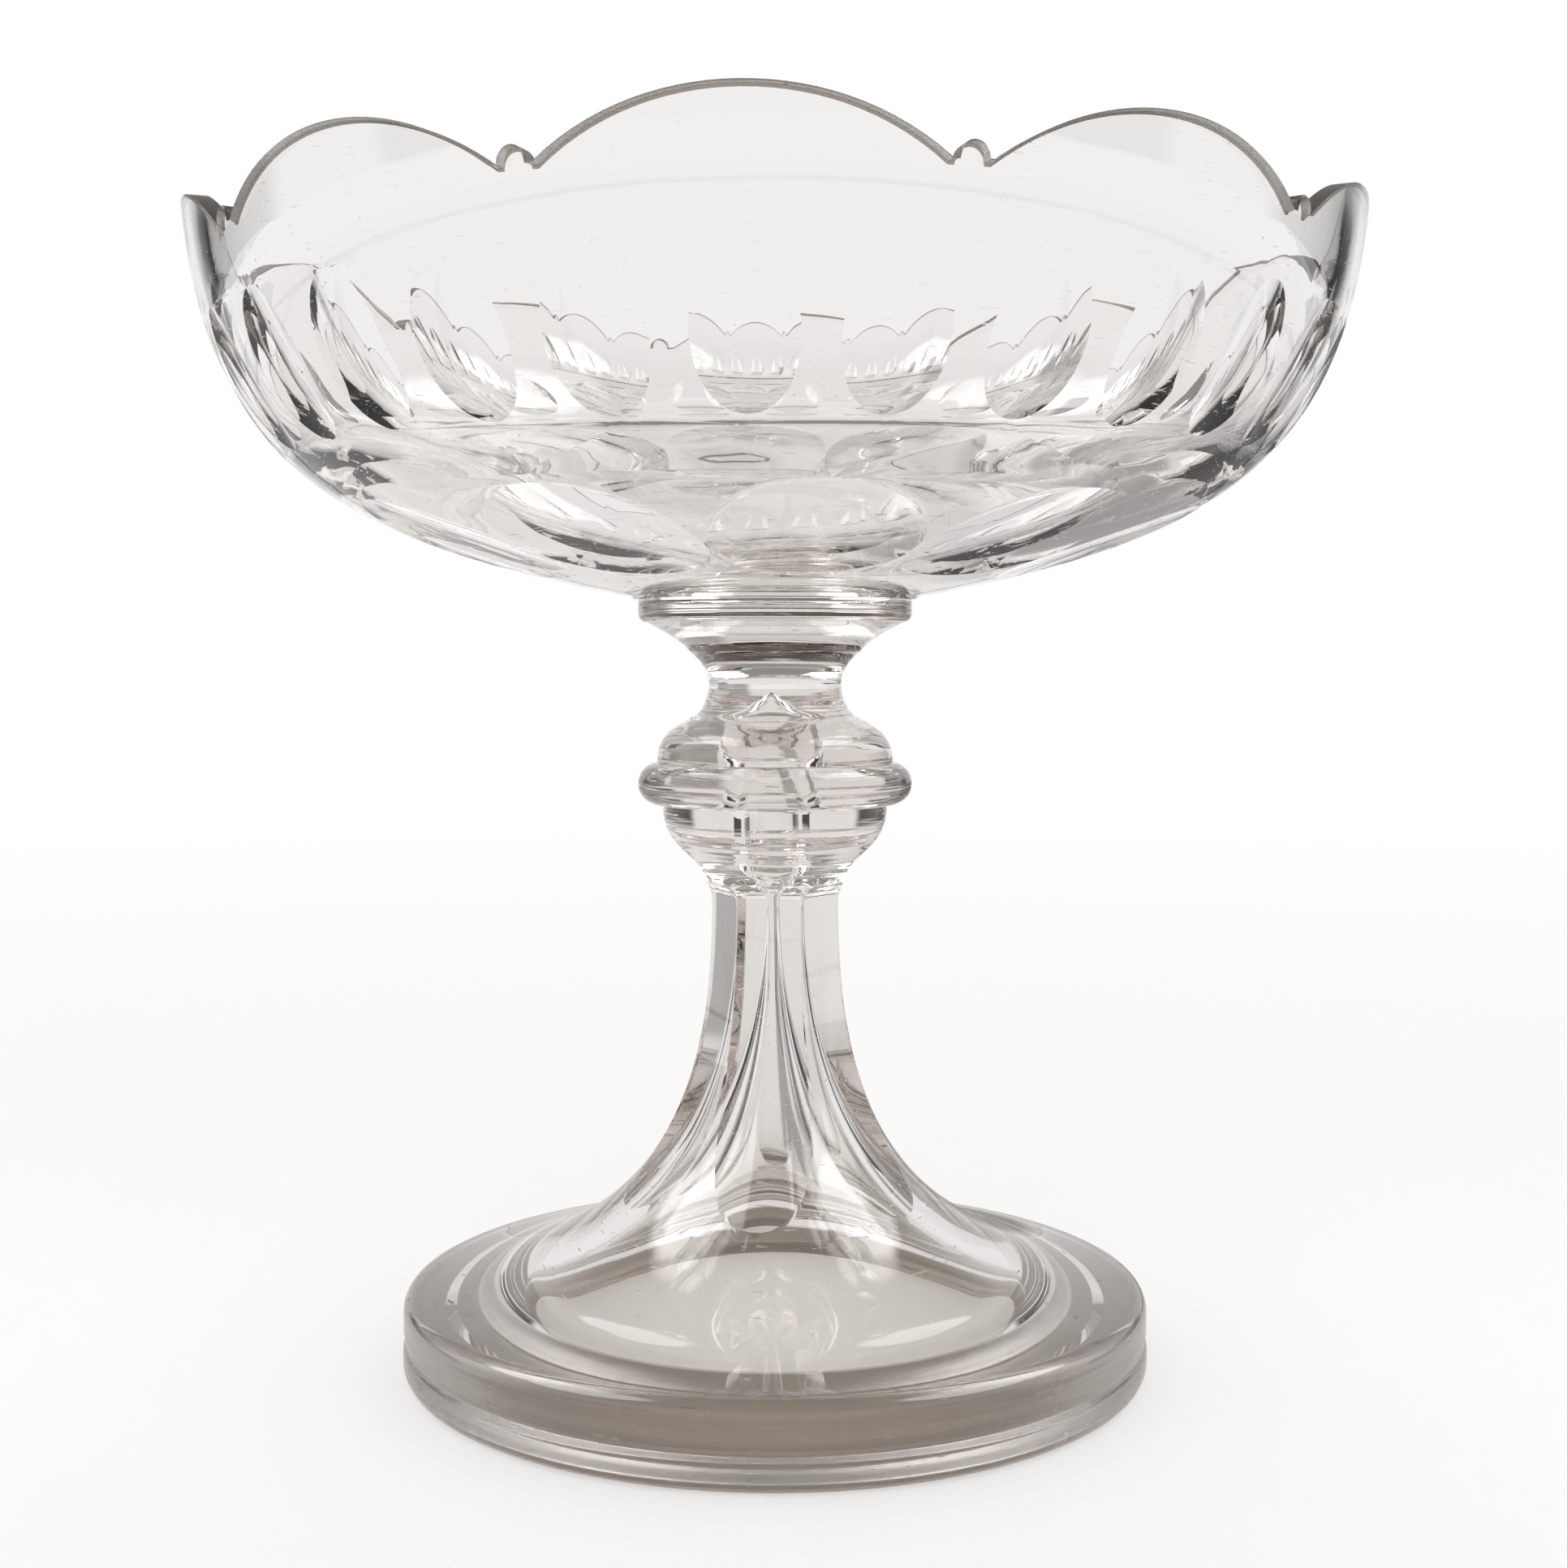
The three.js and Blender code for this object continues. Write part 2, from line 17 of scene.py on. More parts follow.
import bpy
import numpy as np
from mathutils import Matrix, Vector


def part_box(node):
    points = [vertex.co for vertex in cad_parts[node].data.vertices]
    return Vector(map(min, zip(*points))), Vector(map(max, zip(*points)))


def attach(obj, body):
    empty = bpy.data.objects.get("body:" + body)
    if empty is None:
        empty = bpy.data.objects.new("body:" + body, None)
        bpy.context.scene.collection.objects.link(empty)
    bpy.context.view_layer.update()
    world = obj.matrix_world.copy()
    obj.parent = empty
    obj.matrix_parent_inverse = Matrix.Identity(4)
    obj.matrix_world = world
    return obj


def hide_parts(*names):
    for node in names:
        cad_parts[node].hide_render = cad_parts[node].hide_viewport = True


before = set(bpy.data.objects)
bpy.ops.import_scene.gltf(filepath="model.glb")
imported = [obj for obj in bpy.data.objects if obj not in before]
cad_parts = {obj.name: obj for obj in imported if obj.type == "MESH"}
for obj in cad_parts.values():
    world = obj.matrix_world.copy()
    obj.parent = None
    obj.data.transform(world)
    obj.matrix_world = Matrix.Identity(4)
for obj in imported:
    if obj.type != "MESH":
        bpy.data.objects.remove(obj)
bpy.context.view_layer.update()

LOG = logging.getLogger("compote")
MM = 0.001
SLIT = 0.01  # between the faces of a weld, so that no two of them lie in one place
SHARP_ANGLE = 14.0  # degrees between two faces, above which the edge between them stays sharp
POLE_SPREAD = 1e-9  # a row no wider than this is one point on the axis
WHITE = "#FFFFFF"


class Band(Enum):
    """What the band of faces between two rows of a skin is."""

    POLISHED = "polished"
    WELD = "weld"
    GROUND = "ground"


def cubic(start: tuple, leave: tuple, arrive: tuple, end: tuple, steps: int) -> np.ndarray:
    """Points along a cubic Bezier curve, (1-t)^3 a + 3(1-t)^2 t b + 3(1-t) t^2 c + t^3 d.

    Args:
        start: Radius and height where the curve starts.
        leave: The handle that it starts towards.
        arrive: The handle that it ends from.
        end: Radius and height where it ends.
        steps: How many equal steps of t it takes.

    Returns:
        An array of steps + 1 rows of radius and height.
    """
    t = np.linspace(0.0, 1.0, steps + 1)[:, None]
    a, b, c, d = (np.array(point, float) for point in (start, leave, arrive, end))
    return (1 - t) ** 3 * a + 3 * (1 - t) ** 2 * t * b + 3 * (1 - t) * t**2 * c + t**3 * d


def bow(start: tuple, end: tuple, bend: tuple, steps: int) -> np.ndarray:
    """A cubic curve whose handles are given as shares of the way across and up.

    Args:
        start: Radius and height where the curve starts.
        end: Radius and height where it ends.
        bend: The two handles, each a share of the way across, then up.
        steps: How many steps it takes.

    Returns:
        Points along the curve.
    """
    a, d = np.array(start, float), np.array(end, float)
    leave, arrive = (a + (d - a) * np.array(shares) for shares in bend)
    return cubic(a, leave, arrive, d, steps)


def quarter(centre: tuple, reach: tuple, start: float, steps: int) -> np.ndarray:
    """A quarter of an ellipse, anticlockwise: centre + reach times cosine and sine.

    Args:
        centre: Radius and height of its centre.
        reach: Its half axes, across and up.
        start: The angle it starts at, in degrees.
        steps: How many steps it takes.

    Returns:
        Points along the arc.
    """
    angle = np.radians(start + np.linspace(0.0, 90.0, steps + 1))
    return np.array(centre) + np.array(reach) * np.stack([np.cos(angle), np.sin(angle)], 1)


def through(points: np.ndarray, steps: int) -> np.ndarray:
    """A uniform Catmull-Rom curve through points, each span a cubic in its own t.

    Args:
        points: Rows of radius and height that the curve passes.
        steps: Steps from each point to the next.

    Returns:
        Points along the curve.
    """
    padded = np.vstack([points[:1], points, points[-1:]])
    t = np.arange(steps)[None, :, None] / steps
    p0, p1, p2, p3 = (padded[i : len(points) - 1 + i, None] for i in range(4))
    a = 2 * p1
    b = p2 - p0
    c = 2 * p0 - 5 * p1 + 4 * p2 - p3
    d = 3 * p1 - p0 - 3 * p2 + p3
    curve = (a + b * t + c * t**2 + d * t**3) / 2
    return np.vstack([curve.reshape(-1, 2), points[-1:]])


def span(line: np.ndarray, low: float, high: float, steps: int) -> np.ndarray:
    """The part of a rising line between two heights, in even steps of height.

    Args:
        line: Points of rising height.
        low: The height where the part starts.
        high: The height where it ends, which may be below low.
        steps: How many steps it takes.

    Returns:
        Points along the part.
    """
    height = np.linspace(low, high, steps + 1)
    return np.stack([np.interp(height, line[:, 1], line[:, 0]), height], 1)


def lengths(line: np.ndarray) -> np.ndarray:
    """How far along a line each of its points lies."""
    return np.concatenate([[0.0], np.cumsum(np.hypot(*np.diff(line, axis=0).T))])


def sectors(columns: int, count: int, turn: float) -> tuple[np.ndarray, np.ndarray]:
    """Shares out columns among the equal sectors of a circle.

    Args:
        columns: How many columns go round.
        count: How many sectors there are.
        turn: The angle of the middle of one of them.

    Returns:
        For each column, its place counted from the middle column of its sector, and the angle of
        that middle.
    """
    each = columns // count
    half = math.pi / count
    start = round(turn / (2 * np.pi) * columns)
    offset = (np.arange(columns) - start + each // 2) % each - each // 2
    sector = (np.arange(columns) - start - offset) // each
    return offset, turn + sector * 2 * half


def smooth(share: np.ndarray) -> np.ndarray:
    """3x^2 - 2x^3, held to 0 before the start and 1 past the end."""
    held = np.clip(share, 0.0, 1.0)
    return held * held * (3 - 2 * held)


@dataclass(frozen=True)
class Tooling:
    """Fine rings that the tools left on hot glass as the stem was turned against them.

    They are the sum of a coarse and a fine wave up the glass, whose phase wanders round it.
    """

    depth: float
    pitch: float
    wander: float = 0.35
    fine_share: float = 0.35
    fine_pace: float = 1.61
    fine_start: float = 1.3
    uneven: float = 0.3

    def rings(self, height: np.ndarray, turn: np.ndarray) -> np.ndarray:
        """How far the rings stand out.

        Args:
            height: Heights of the rows.
            turn: Angles of the columns.

        Returns:
            What to add to the radius at each row and column, nothing at the first and last row.
        """
        low, high = height.min(), height.max()
        z, a = height[:, None], turn[None]
        wandering = np.sin(2 * a + 1.0) + np.sin(3 * a + z / 2)
        phase = 2 * np.pi * z / self.pitch + self.wander * wandering
        fine = self.fine_share * np.sin(self.fine_pace * phase + self.fine_start)
        wave = (1 - self.fine_share) * np.sin(phase) + fine
        ends = smooth(np.minimum(z - low, high - z) / self.pitch)
        return self.depth * (1 + self.uneven * np.sin(a + z)) * wave * ends


class Skin:
    """Rows of points round the axis that become one closed mesh.

    The rows run up the outside of a gather and back down its inside, or from one pole to the
    other. Columns run from the front towards +X, so that the faces point out of the glass.
    """

    def __init__(self, columns: int) -> None:
        """Starts with no rows.

        Args:
            columns: How many points each row has.
        """
        self.turn = np.arange(columns) * (2 * np.pi / columns)
        self.rows: list[np.ndarray] = []
        self.bands: list[Band] = []

    def lay(
        self,
        radius: np.ndarray,
        height: np.ndarray,
        turn: np.ndarray | None = None,
        lead: Band = Band.POLISHED,
        drift: np.ndarray | None = None,
    ) -> None:
        """Adds rows at x = r sin(turn), y = -r cos(turn), z = height.

        Args:
            radius: Distance from the axis, for each row, or each row and column.
            height: Height, shaped as radius is.
            turn: Angle from the front for each row and column, or None for even steps.
            lead: What the band that leads up to the first of these rows is.
            drift: How far each row's centre stands off the axis towards +X, or None.
        """
        angle = np.atleast_2d(self.turn if turn is None else turn)
        r = radius[:, None] if radius.ndim == 1 else radius
        z = height[:, None] if height.ndim == 1 else height
        aside = 0.0 if drift is None else drift[:, None]
        x = r * np.sin(angle) + aside
        shape = np.broadcast_shapes(x.shape, z.shape)
        y = -r * np.cos(angle)
        rows = np.stack([np.broadcast_to(a, shape) for a in (x, y, z)], -1)
        self.rows.append(rows)
        self.bands += [lead] + [Band.POLISHED] * (len(rows) - 1)

    def line(
        self,
        points: np.ndarray | tuple[float, float],
        lead: Band = Band.POLISHED,
        drift: np.ndarray | None = None,
        tooling: Tooling | None = None,
    ) -> None:
        """Adds a row for each point of an outline, with even columns.

        Args:
            points: Rows of radius and height, or the radius and height of one row.
            lead: What the band that leads up to the first of these rows is.
            drift: How far each row's centre stands off the axis, or None.
            tooling: The rings that the tools left along it, or None.
        """
        radius, height = np.atleast_2d(points).T
        if tooling:
            radius = radius[:, None] + tooling.rings(height, self.turn)
        self.lay(radius, height, lead=lead, drift=drift)

    def mesh(self, name: str, closing: Band | None = None) -> bpy.types.Mesh:
        """Joins the rows by bands of quads, and by triangles where a row is a pole.

        Args:
            name: The mesh's name.
            closing: What joins the last row to the first, or None between two poles.

        Returns:
            The mesh in metres, smooth but for its sharp edges, with an attribute that is 1 on
            weld faces and another that is 1 on ground ones.
        """
        rows = np.vstack(self.rows)
        count, columns = rows.shape[:2]
        pole = np.ptp(rows, axis=1).max(1) < POLE_SPREAD
        sizes = np.where(pole, 1, columns)
        first = np.concatenate([[0], np.cumsum(sizes)])
        index = first[:-1, None] + np.where(pole[:, None], 0, np.arange(columns)[None])
        points = np.vstack([row[:1] if tip else row for row, tip in zip(rows, pole)])
        ends = np.arange(1, count) if closing is None else np.append(np.arange(1, count), 0)
        bands = self.bands[1:] + ([] if closing is None else [closing])
        faces: list[list[int]] = []
        kinds: list[Band] = []
        for start, end, band in zip(range(count), ends, bands):
            low, high = index[start], index[end]
            low_next, high_next = np.roll(low, -1), np.roll(high, -1)
            if pole[start]:
                ring = np.stack([low, high_next, high], 1)
            elif pole[end]:
                ring = np.stack([low, low_next, high], 1)
            else:
                ring = np.stack([low, low_next, high_next, high], 1)
            faces += ring.tolist()
            kinds += [band] * len(ring)
        mesh = bpy.data.meshes.new(name)
        mesh.from_pydata((points * MM).tolist(), [], faces)
        for band in (Band.WELD, Band.GROUND):
            share = [float(kind is band) for kind in kinds]
            mesh.attributes.new(band.value, "FLOAT", "FACE").data.foreach_set("value", share)
        mesh.shade_smooth()
        mesh.set_sharp_from_angle(angle=math.radians(SHARP_ANGLE))
        return mesh


@dataclass
class Bubble:
    """The long bubble that the blower left inside, from the foot up to the neck."""

    shoulder_radius: float = 46.0
    shoulder_height: float = 15.5
    dome_share: float = 0.42
    dome_rise: float = 11.0
    throat_radius: float = 1.3
    throat_height: float = 93.25
    along_column: float = 0.51
    cone_radius: float = 2.4
    lower_radius: float = 5.3
    lower_at: float = 0.5
    ring_radius: float = 5.6
    upper_radius: float = 7.2
    widest_radius: float = 8.1
    widest_at: float = 0.25
    shoulder_radius_above: float = 4.7
    shoulder_at: float = 0.62
    neck_radius: float = 1.5
    tip_height: float = 2.3
    drift: float = -0.5
    drift_over: float = 20.0
    line: np.ndarray = field(init=False)

    def __post_init__(self) -> None:
        """Works out the bubble's radius from the shoulder of the foot's hollow up to its neck."""
        long = self.throat_height - self.shoulder_height
        lower = cubic(
            (self.shoulder_radius, self.shoulder_height),
            (self.dome_share * self.shoulder_radius, self.shoulder_height + self.dome_rise),
            (self.throat_radius, self.throat_height - self.along_column * long),
            (self.throat_radius, self.throat_height),
            steps=120,
        )
        stem_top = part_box("stem")[1].z / MM
        lower_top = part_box("lower_knop")[1].z / MM
        ring_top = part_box("knop_ring")[1].z / MM
        upper_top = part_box("upper_knop")[1].z / MM
        upper = upper_top - ring_top
        knop = through(
            np.array([
                (self.cone_radius, stem_top),
                (self.lower_radius, stem_top + self.lower_at * (lower_top - stem_top)),
                (self.ring_radius, lower_top),
                (self.upper_radius, ring_top),
                (self.widest_radius, ring_top + self.widest_at * upper),
                (self.shoulder_radius_above, ring_top + self.shoulder_at * upper),
                (self.neck_radius, upper_top),
            ]),
            steps=24,
        )
        self.line = np.vstack([lower, knop])

    def inside(self, high: float, low: float, steps: int) -> np.ndarray:
        """The bubble's wall from a height down to another."""
        return span(self.line, high, low, steps)

    def off_axis(self, height: np.ndarray) -> np.ndarray:
        """How far the bubble has drifted off the axis, which it does above the throat."""
        return self.drift * smooth((height - self.throat_height) / self.drift_over)


@dataclass
class Flare:
    """The outside that the foot and the stem share, one curve from the edge up to the column."""

    edge_radius: float = 70.8
    edge_height: float = 16.2
    top_slope: float = 0.19
    column_radius: float = 12.8
    column_top: float = 92.05
    along_foot: float = 0.81
    along_column: float = 0.55
    line: np.ndarray = field(init=False)

    def __post_init__(self) -> None:
        """Works out the curve."""
        along = self.along_foot * (self.edge_radius - self.column_radius)
        tall = self.column_top - self.edge_height
        self.line = cubic(
            (self.edge_radius, self.edge_height),
            (self.edge_radius - along, self.edge_height + along * self.top_slope),
            (self.column_radius, self.column_top - self.along_column * tall),
            (self.column_radius, self.column_top),
            steps=300,
        )

    def radius_at(self, height: np.ndarray) -> np.ndarray:
        """Radius at a height, that of the column above the curve's end."""
        return np.interp(height, self.line[:, 1], self.line[:, 0])


def levels(node: str) -> tuple[float, float]:
    """The heights between which a gather's skin lies, so that its welds meet but for a slit.

    Args:
        node: The gather's name in the frame.

    Returns:
        The lowest and the highest height. The lowest is the frame's own.
    """
    low, high = (corner.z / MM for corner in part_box(node))
    above = [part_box(other)[0].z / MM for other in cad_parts]
    nearest = min((h for h in above if h > high), default=high + SLIT)
    return low, nearest - SLIT


@dataclass
class Foot:
    """The thick foot: a plate with a grooved side, ground flat below round a wide hollow."""

    flare: Flare
    bubble: Bubble
    radius: float = 74.0
    shoulder: float = 3.2
    heel: float = 3.4
    groove_height: float = 7.4
    groove_depth: float = 0.55
    groove_width: float = 1.1
    set_back: float = 0.1
    mouth_radius: float = 55.3
    mouth_rounding: float = 0.9
    mouth_bend: tuple = ((0.68, 0.17), (1.0, 0.5))
    side_tooling: Tooling = Tooling(0.025, 1.9)
    columns: int = 320

    def side(self, steps: int) -> np.ndarray:
        """The side between heel and shoulder: a groove exp(-x^2), and a step in above it."""
        height = np.linspace(self.heel, self.flare.edge_height - self.shoulder, steps + 1)
        off = (height - self.groove_height) / self.groove_width
        groove = self.groove_depth * np.exp(-(off**2))
        return np.stack([self.radius - groove - self.set_back * smooth(off), height], 1)

    def build(self) -> bpy.types.Mesh:
        """Lays the outline up the side and the top, and back down the hollow."""
        top = levels("foot")[1]
        belly = self.radius - self.set_back
        heel = (self.radius - self.heel, self.heel)
        shoulder = (belly - self.shoulder, self.flare.edge_height - self.shoulder)
        edge = self.mouth_rounding
        hollow = (self.bubble.shoulder_radius, self.bubble.shoulder_height)
        skin = Skin(self.columns)
        skin.line(quarter(heel, (self.heel, self.heel), -90, steps=14))
        skin.line(self.side(steps=60)[1:-1], tooling=self.side_tooling)
        skin.line(quarter(shoulder, (self.shoulder, self.shoulder), 0, steps=14))
        skin.line(span(self.flare.line, self.flare.edge_height, top, steps=34)[1:])
        skin.line(self.bubble.inside(top, hollow[1], steps=26), lead=Band.WELD)
        skin.line(bow(hollow, (self.mouth_radius, edge), self.mouth_bend, steps=22)[1:-1])
        skin.line(quarter((self.mouth_radius + edge, edge), (edge, edge), 180, steps=6))
        return skin.mesh("foot_glass", closing=Band.POLISHED)


@dataclass
class Stem:
    """The hollow stem: a round flare cut with flat panels that arch at the top and fade below.

    A panel's face stands at a distance a(z) from the axis, and the round flare at R(z). At the
    angle d from the middle of the panel the glass ends at the nearer of R and a / cos(d), and
    the edge between them lies at the angle acos(a / R). The columns of the skin follow it. Where
    the glass is all round or all flat, the columns of the other keep arris degrees of it.
    """

    flare: Flare
    bubble: Bubble
    panels: int = 6
    turn: float = -6.5
    top_radius: float = 14.5
    cone_bend: tuple = ((0.12, 0.36), (0.59, 0.71))
    tip_above_foot: float = 1.2
    fade: float = 5.0
    stop: float = 3.2
    overrun: float = 1.2
    arris: float = 0.5
    across_panel: int = 30
    across_land: int = 26
    rows_of_panel: int = 84
    crowding: float = 1.35
    rows_of_stop: int = 34

    def outside(self, height: np.ndarray) -> np.ndarray:
        """Radius of the round glass before it is cut: the flare, then a cone up to the knop."""
        top = levels("stem")[1]
        start = (self.flare.column_radius, self.flare.column_top)
        cone = bow(start, (self.top_radius, top), self.cone_bend, steps=60)
        return np.where(
            height > self.flare.column_top,
            np.interp(height, cone[:, 1], cone[:, 0]),
            self.flare.radius_at(height),
        )

    def panel_face(self, height: np.ndarray) -> np.ndarray:
        """Distance of a panel's face from the axis, with the quarter round that stops it above."""
        across = math.cos(math.pi / self.panels)
        tip = levels("stem")[0] + self.tip_above_foot
        up = np.clip((height - tip) / (self.flare.column_top - tip), 0.0, 1.0)
        face = self.flare.radius_at(height) * (across + (1 - across) * (1 - up) ** self.fade)
        past = np.clip(height - self.flare.column_top - self.overrun, 0.0, self.stop)
        return face + self.stop - np.sqrt(self.stop**2 - past**2)

    def build(self) -> bpy.types.Mesh:
        """Lays the outside by rows that crowd at the panels' ends, then the bubble's wall."""
        low, top = levels("stem")
        arch = self.flare.column_top + self.overrun
        tip = low + self.tip_above_foot
        height = np.concatenate([
            [low],
            tip + (arch - tip) * np.linspace(0.0, 1.0, self.rows_of_panel) ** self.crowding,
            np.linspace(arch, arch + self.stop, self.rows_of_stop)[1:],
            [top],
        ])
        around = self.outside(height)
        face = self.panel_face(height)
        half = math.pi / self.panels
        sliver = math.radians(self.arris)
        edge = np.arccos(np.clip(face / around, -1.0, 1.0)).clip(sliver, half - sliver)
        edge[height <= tip] = sliver
        n, m = self.across_panel, self.across_land
        inside = np.linspace(-1.0, 1.0, n + 1)[None] * edge[:, None]
        land = edge[:, None] + (2 * (half - edge))[:, None] * (np.arange(1, m) / m)[None]
        sector = np.hstack([inside, land])
        cut = (face[:, None] / np.cos(inside)).clip(0.0, around[:, None])
        shape = np.hstack([cut, np.broadcast_to(around[:, None], land.shape)])
        middles = math.radians(self.turn) + 2 * half * np.arange(self.panels)
        angle = np.hstack([sector + middle for middle in middles])
        skin = Skin(angle.shape[1])
        skin.lay(np.tile(shape, self.panels), height, angle)
        throat = self.bubble.throat_height
        bore = np.vstack([
            self.bubble.inside(top, throat, steps=8),
            self.bubble.inside(throat, low, steps=90)[1:],
        ])
        upper, lower = angle[-1:], angle[:1]
        share = ((bore[:, 1] - low) / (top - low))[:, None]
        skin.lay(
            bore[:, 0],
            bore[:, 1],
            lower + (upper - lower) * share,
            lead=Band.WELD,
            drift=self.bubble.off_axis(bore[:, 1]),
        )
        return skin.mesh("stem_glass", closing=Band.WELD)


@dataclass
class Knop:
    """The knop of the stem: a lower swelling, a ring and an upper swelling round the bubble."""

    bubble: Bubble
    stem_radius: float = 14.5
    lower_radius: float = 22.6
    lower_bend: tuple = ((0.19, 0.3), (1.0, 0.38))
    ring_root: float = 23.2
    ring_radius: float = 27.6
    upper_radius: float = 23.8
    upper_top: float = 14.6
    upper_bend: tuple = ((0.0, 0.73), (0.87, 0.69))
    columns: int = 288
    lower_tooling: Tooling = Tooling(0.045, 2.2)
    ring_tooling: Tooling = Tooling(0.018, 2.4)
    upper_tooling: Tooling = Tooling(0.018, 2.6)

    def hollow(
        self,
        outside: np.ndarray,
        tooling: Tooling,
        name: str,
        under: float,
        over: float,
    ) -> bpy.types.Mesh:
        """A skin with an outside and the bubble's wall, welded above and below.

        Args:
            outside: The outline from the bottom up.
            tooling: The rings on it.
            name: The mesh's name.
            under: Radius of the weld below.
            over: Radius of the weld above.

        Returns:
            The mesh.
        """
        (first, low), (last, high) = outside[0], outside[-1]
        skin = Skin(self.columns)
        if under < first:
            skin.line((under, low))
        skin.line(outside, tooling=tooling)
        if over < last:
            skin.line((over, high))
        wall = self.bubble.inside(high, low, steps=40)
        skin.line(wall, lead=Band.WELD, drift=self.bubble.off_axis(wall[:, 1]))
        return skin.mesh(name, closing=Band.WELD)

    def build_lower(self) -> bpy.types.Mesh:
        """The swelling below the ring, an ogee that opens upwards."""
        low, high = levels("lower_knop")
        end = (self.lower_radius, high)
        outside = bow((self.stem_radius, low), end, self.lower_bend, steps=110)
        return self.hollow(
            outside, self.lower_tooling, "lower_knop_glass", self.stem_radius, self.lower_radius
        )

    def build_ring(self) -> bpy.types.Mesh:
        """The ring, half an ellipse round its root."""
        low, high = levels("knop_ring")
        half = (high - low) / 2
        swell = (self.ring_radius - self.ring_root, half)
        outside = np.vstack([
            quarter((self.ring_root, low + half), swell, -90, steps=36),
            quarter((self.ring_root, low + half), swell, 0, steps=36)[1:],
        ])
        return self.hollow(
            outside, self.ring_tooling, "knop_ring_glass", self.lower_radius, self.ring_root
        )

    def build_upper(self) -> bpy.types.Mesh:
        """The swelling above the ring, which rounds over into the neck."""
        low, high = levels("upper_knop")
        end = (self.upper_top, high)
        outside = bow((self.upper_radius, low), end, self.upper_bend, steps=90)
        return self.hollow(
            outside, self.upper_tooling, "upper_knop_glass", self.ring_root, self.upper_top
        )


@dataclass
class Collar:
    """The waisted neck and the disc that it spreads into under the bowl."""

    bubble: Bubble
    neck_root: float = 14.6
    waist: float = 13.5
    neck_top: float = 17.2
    neck_bend: float = 0.3
    radius: float = 27.6
    side_height: float = 4.6
    rounding: float = 1.8
    under_bend: tuple = ((0.23, 0.45), (0.74, 0.79))
    tip_power: float = 0.8
    columns: int = 288
    neck_tooling: Tooling = Tooling(0.02, 1.8)
    under_tooling: Tooling = Tooling(0.02, 2.0)
    side_tooling: Tooling = Tooling(0.08, 0.85)

    def build_neck(self) -> bpy.types.Mesh:
        """The neck, with the pointed tip of the bubble in its underside.

        A cubic whose handles both have the radius h is (root + 6h + top) / 8 from the axis
        halfway along, which is made the waist.
        """
        low, high = levels("neck")
        tall = high - low
        handle = (8 * self.waist - self.neck_root - self.neck_top) / 6
        outside = cubic(
            (self.neck_root, low),
            (handle, low + self.neck_bend * tall),
            (handle, high - self.neck_bend * tall),
            (self.neck_top, high),
            steps=90,
        )
        share = np.linspace(1.0, 0.0, num=17)
        tip = np.stack([
            self.bubble.neck_radius * (1 - share) ** self.tip_power,
            low + self.bubble.tip_height * share,
        ], 1)
        drift = np.full(len(tip), self.bubble.drift)
        skin = Skin(self.columns)
        skin.line(tip, drift=drift)
        skin.line(outside, lead=Band.WELD, tooling=self.neck_tooling)
        skin.line((0.0, high), lead=Band.WELD)
        return skin.mesh("neck_glass")

    def build_disc(self) -> bpy.types.Mesh:
        """The disc, with a curved underside, a rounded lower edge and a straight side."""
        low, high = levels("collar_disc")
        turn = self.radius - self.rounding
        under = high - self.side_height
        curve = bow((self.neck_top, low), (turn, under), self.under_bend, steps=60)
        centre = (turn, under + self.rounding)
        round_edge = quarter(centre, (self.rounding, self.rounding), -90, steps=14)
        side = np.linspace((self.radius, under + self.rounding), (self.radius, high), num=45)
        skin = Skin(self.columns)
        skin.line((0.0, low))
        skin.line(curve, lead=Band.WELD, tooling=self.under_tooling)
        skin.line(round_edge[1:-1])
        skin.line(side, tooling=self.side_tooling)
        skin.line((0.0, high), lead=Band.WELD)
        return skin.mesh("collar_disc_glass")


@dataclass
class Cut:
    """A row of equal hollows that a rounded stone ground into the outside of the bowl.

    At u across and v along the outline from the middle of a cut, the glass is ground away by
    depth (1 - (2u / width)^2 - (2v / length)^2), so that its edge is an ellipse. On each side of
    its middle the column numbered edge_column lies on that edge, and never nearer to the middle
    than least degrees, so that no columns meet at the ends of a cut.
    """

    count: int
    turn: float
    length: float
    width: float
    depth: float
    edge_column: int
    least: float = 0.04

    def edge(self, along: np.ndarray, radius: np.ndarray) -> np.ndarray:
        """Half the angle that a cut spans, for rows at a distance along from its middle."""
        share = np.sqrt(np.clip(1 - (2 * along / self.length) ** 2, 0.0, 1.0))
        return np.maximum(self.width / 2 * share / radius, math.radians(self.least))

    def angles(self, columns: int, edge: np.ndarray) -> np.ndarray:
        """Column angles that crowd so that a column lies on each side edge of every cut.

        Args:
            columns: How many columns go round.
            edge: Half the angle of a cut in each row.

        Returns:
            Angles for each row and column.
        """
        each = columns // self.count
        half = math.pi / self.count
        offset, middle = sectors(columns, self.count, math.radians(self.turn))
        n = self.edge_column
        far = np.abs(offset)[None]
        inner = edge[:, None] * (far / n)
        outer = edge[:, None] + (half - edge)[:, None] * (far - n) / (each / 2 - n)
        return middle[None] + np.sign(offset)[None] * np.where(far <= n, inner, outer)

    def ground(self, angles: np.ndarray, radius: np.ndarray, along: np.ndarray) -> np.ndarray:
        """Depth of glass ground away at each row and column."""
        half = math.pi / self.count
        aside = (angles - math.radians(self.turn) + half) % (2 * half) - half
        u = aside * radius[:, None] * 2 / self.width
        v = (along * 2 / self.length)[:, None]
        return np.clip(self.depth * (1 - u**2 - v**2), 0.0, None)


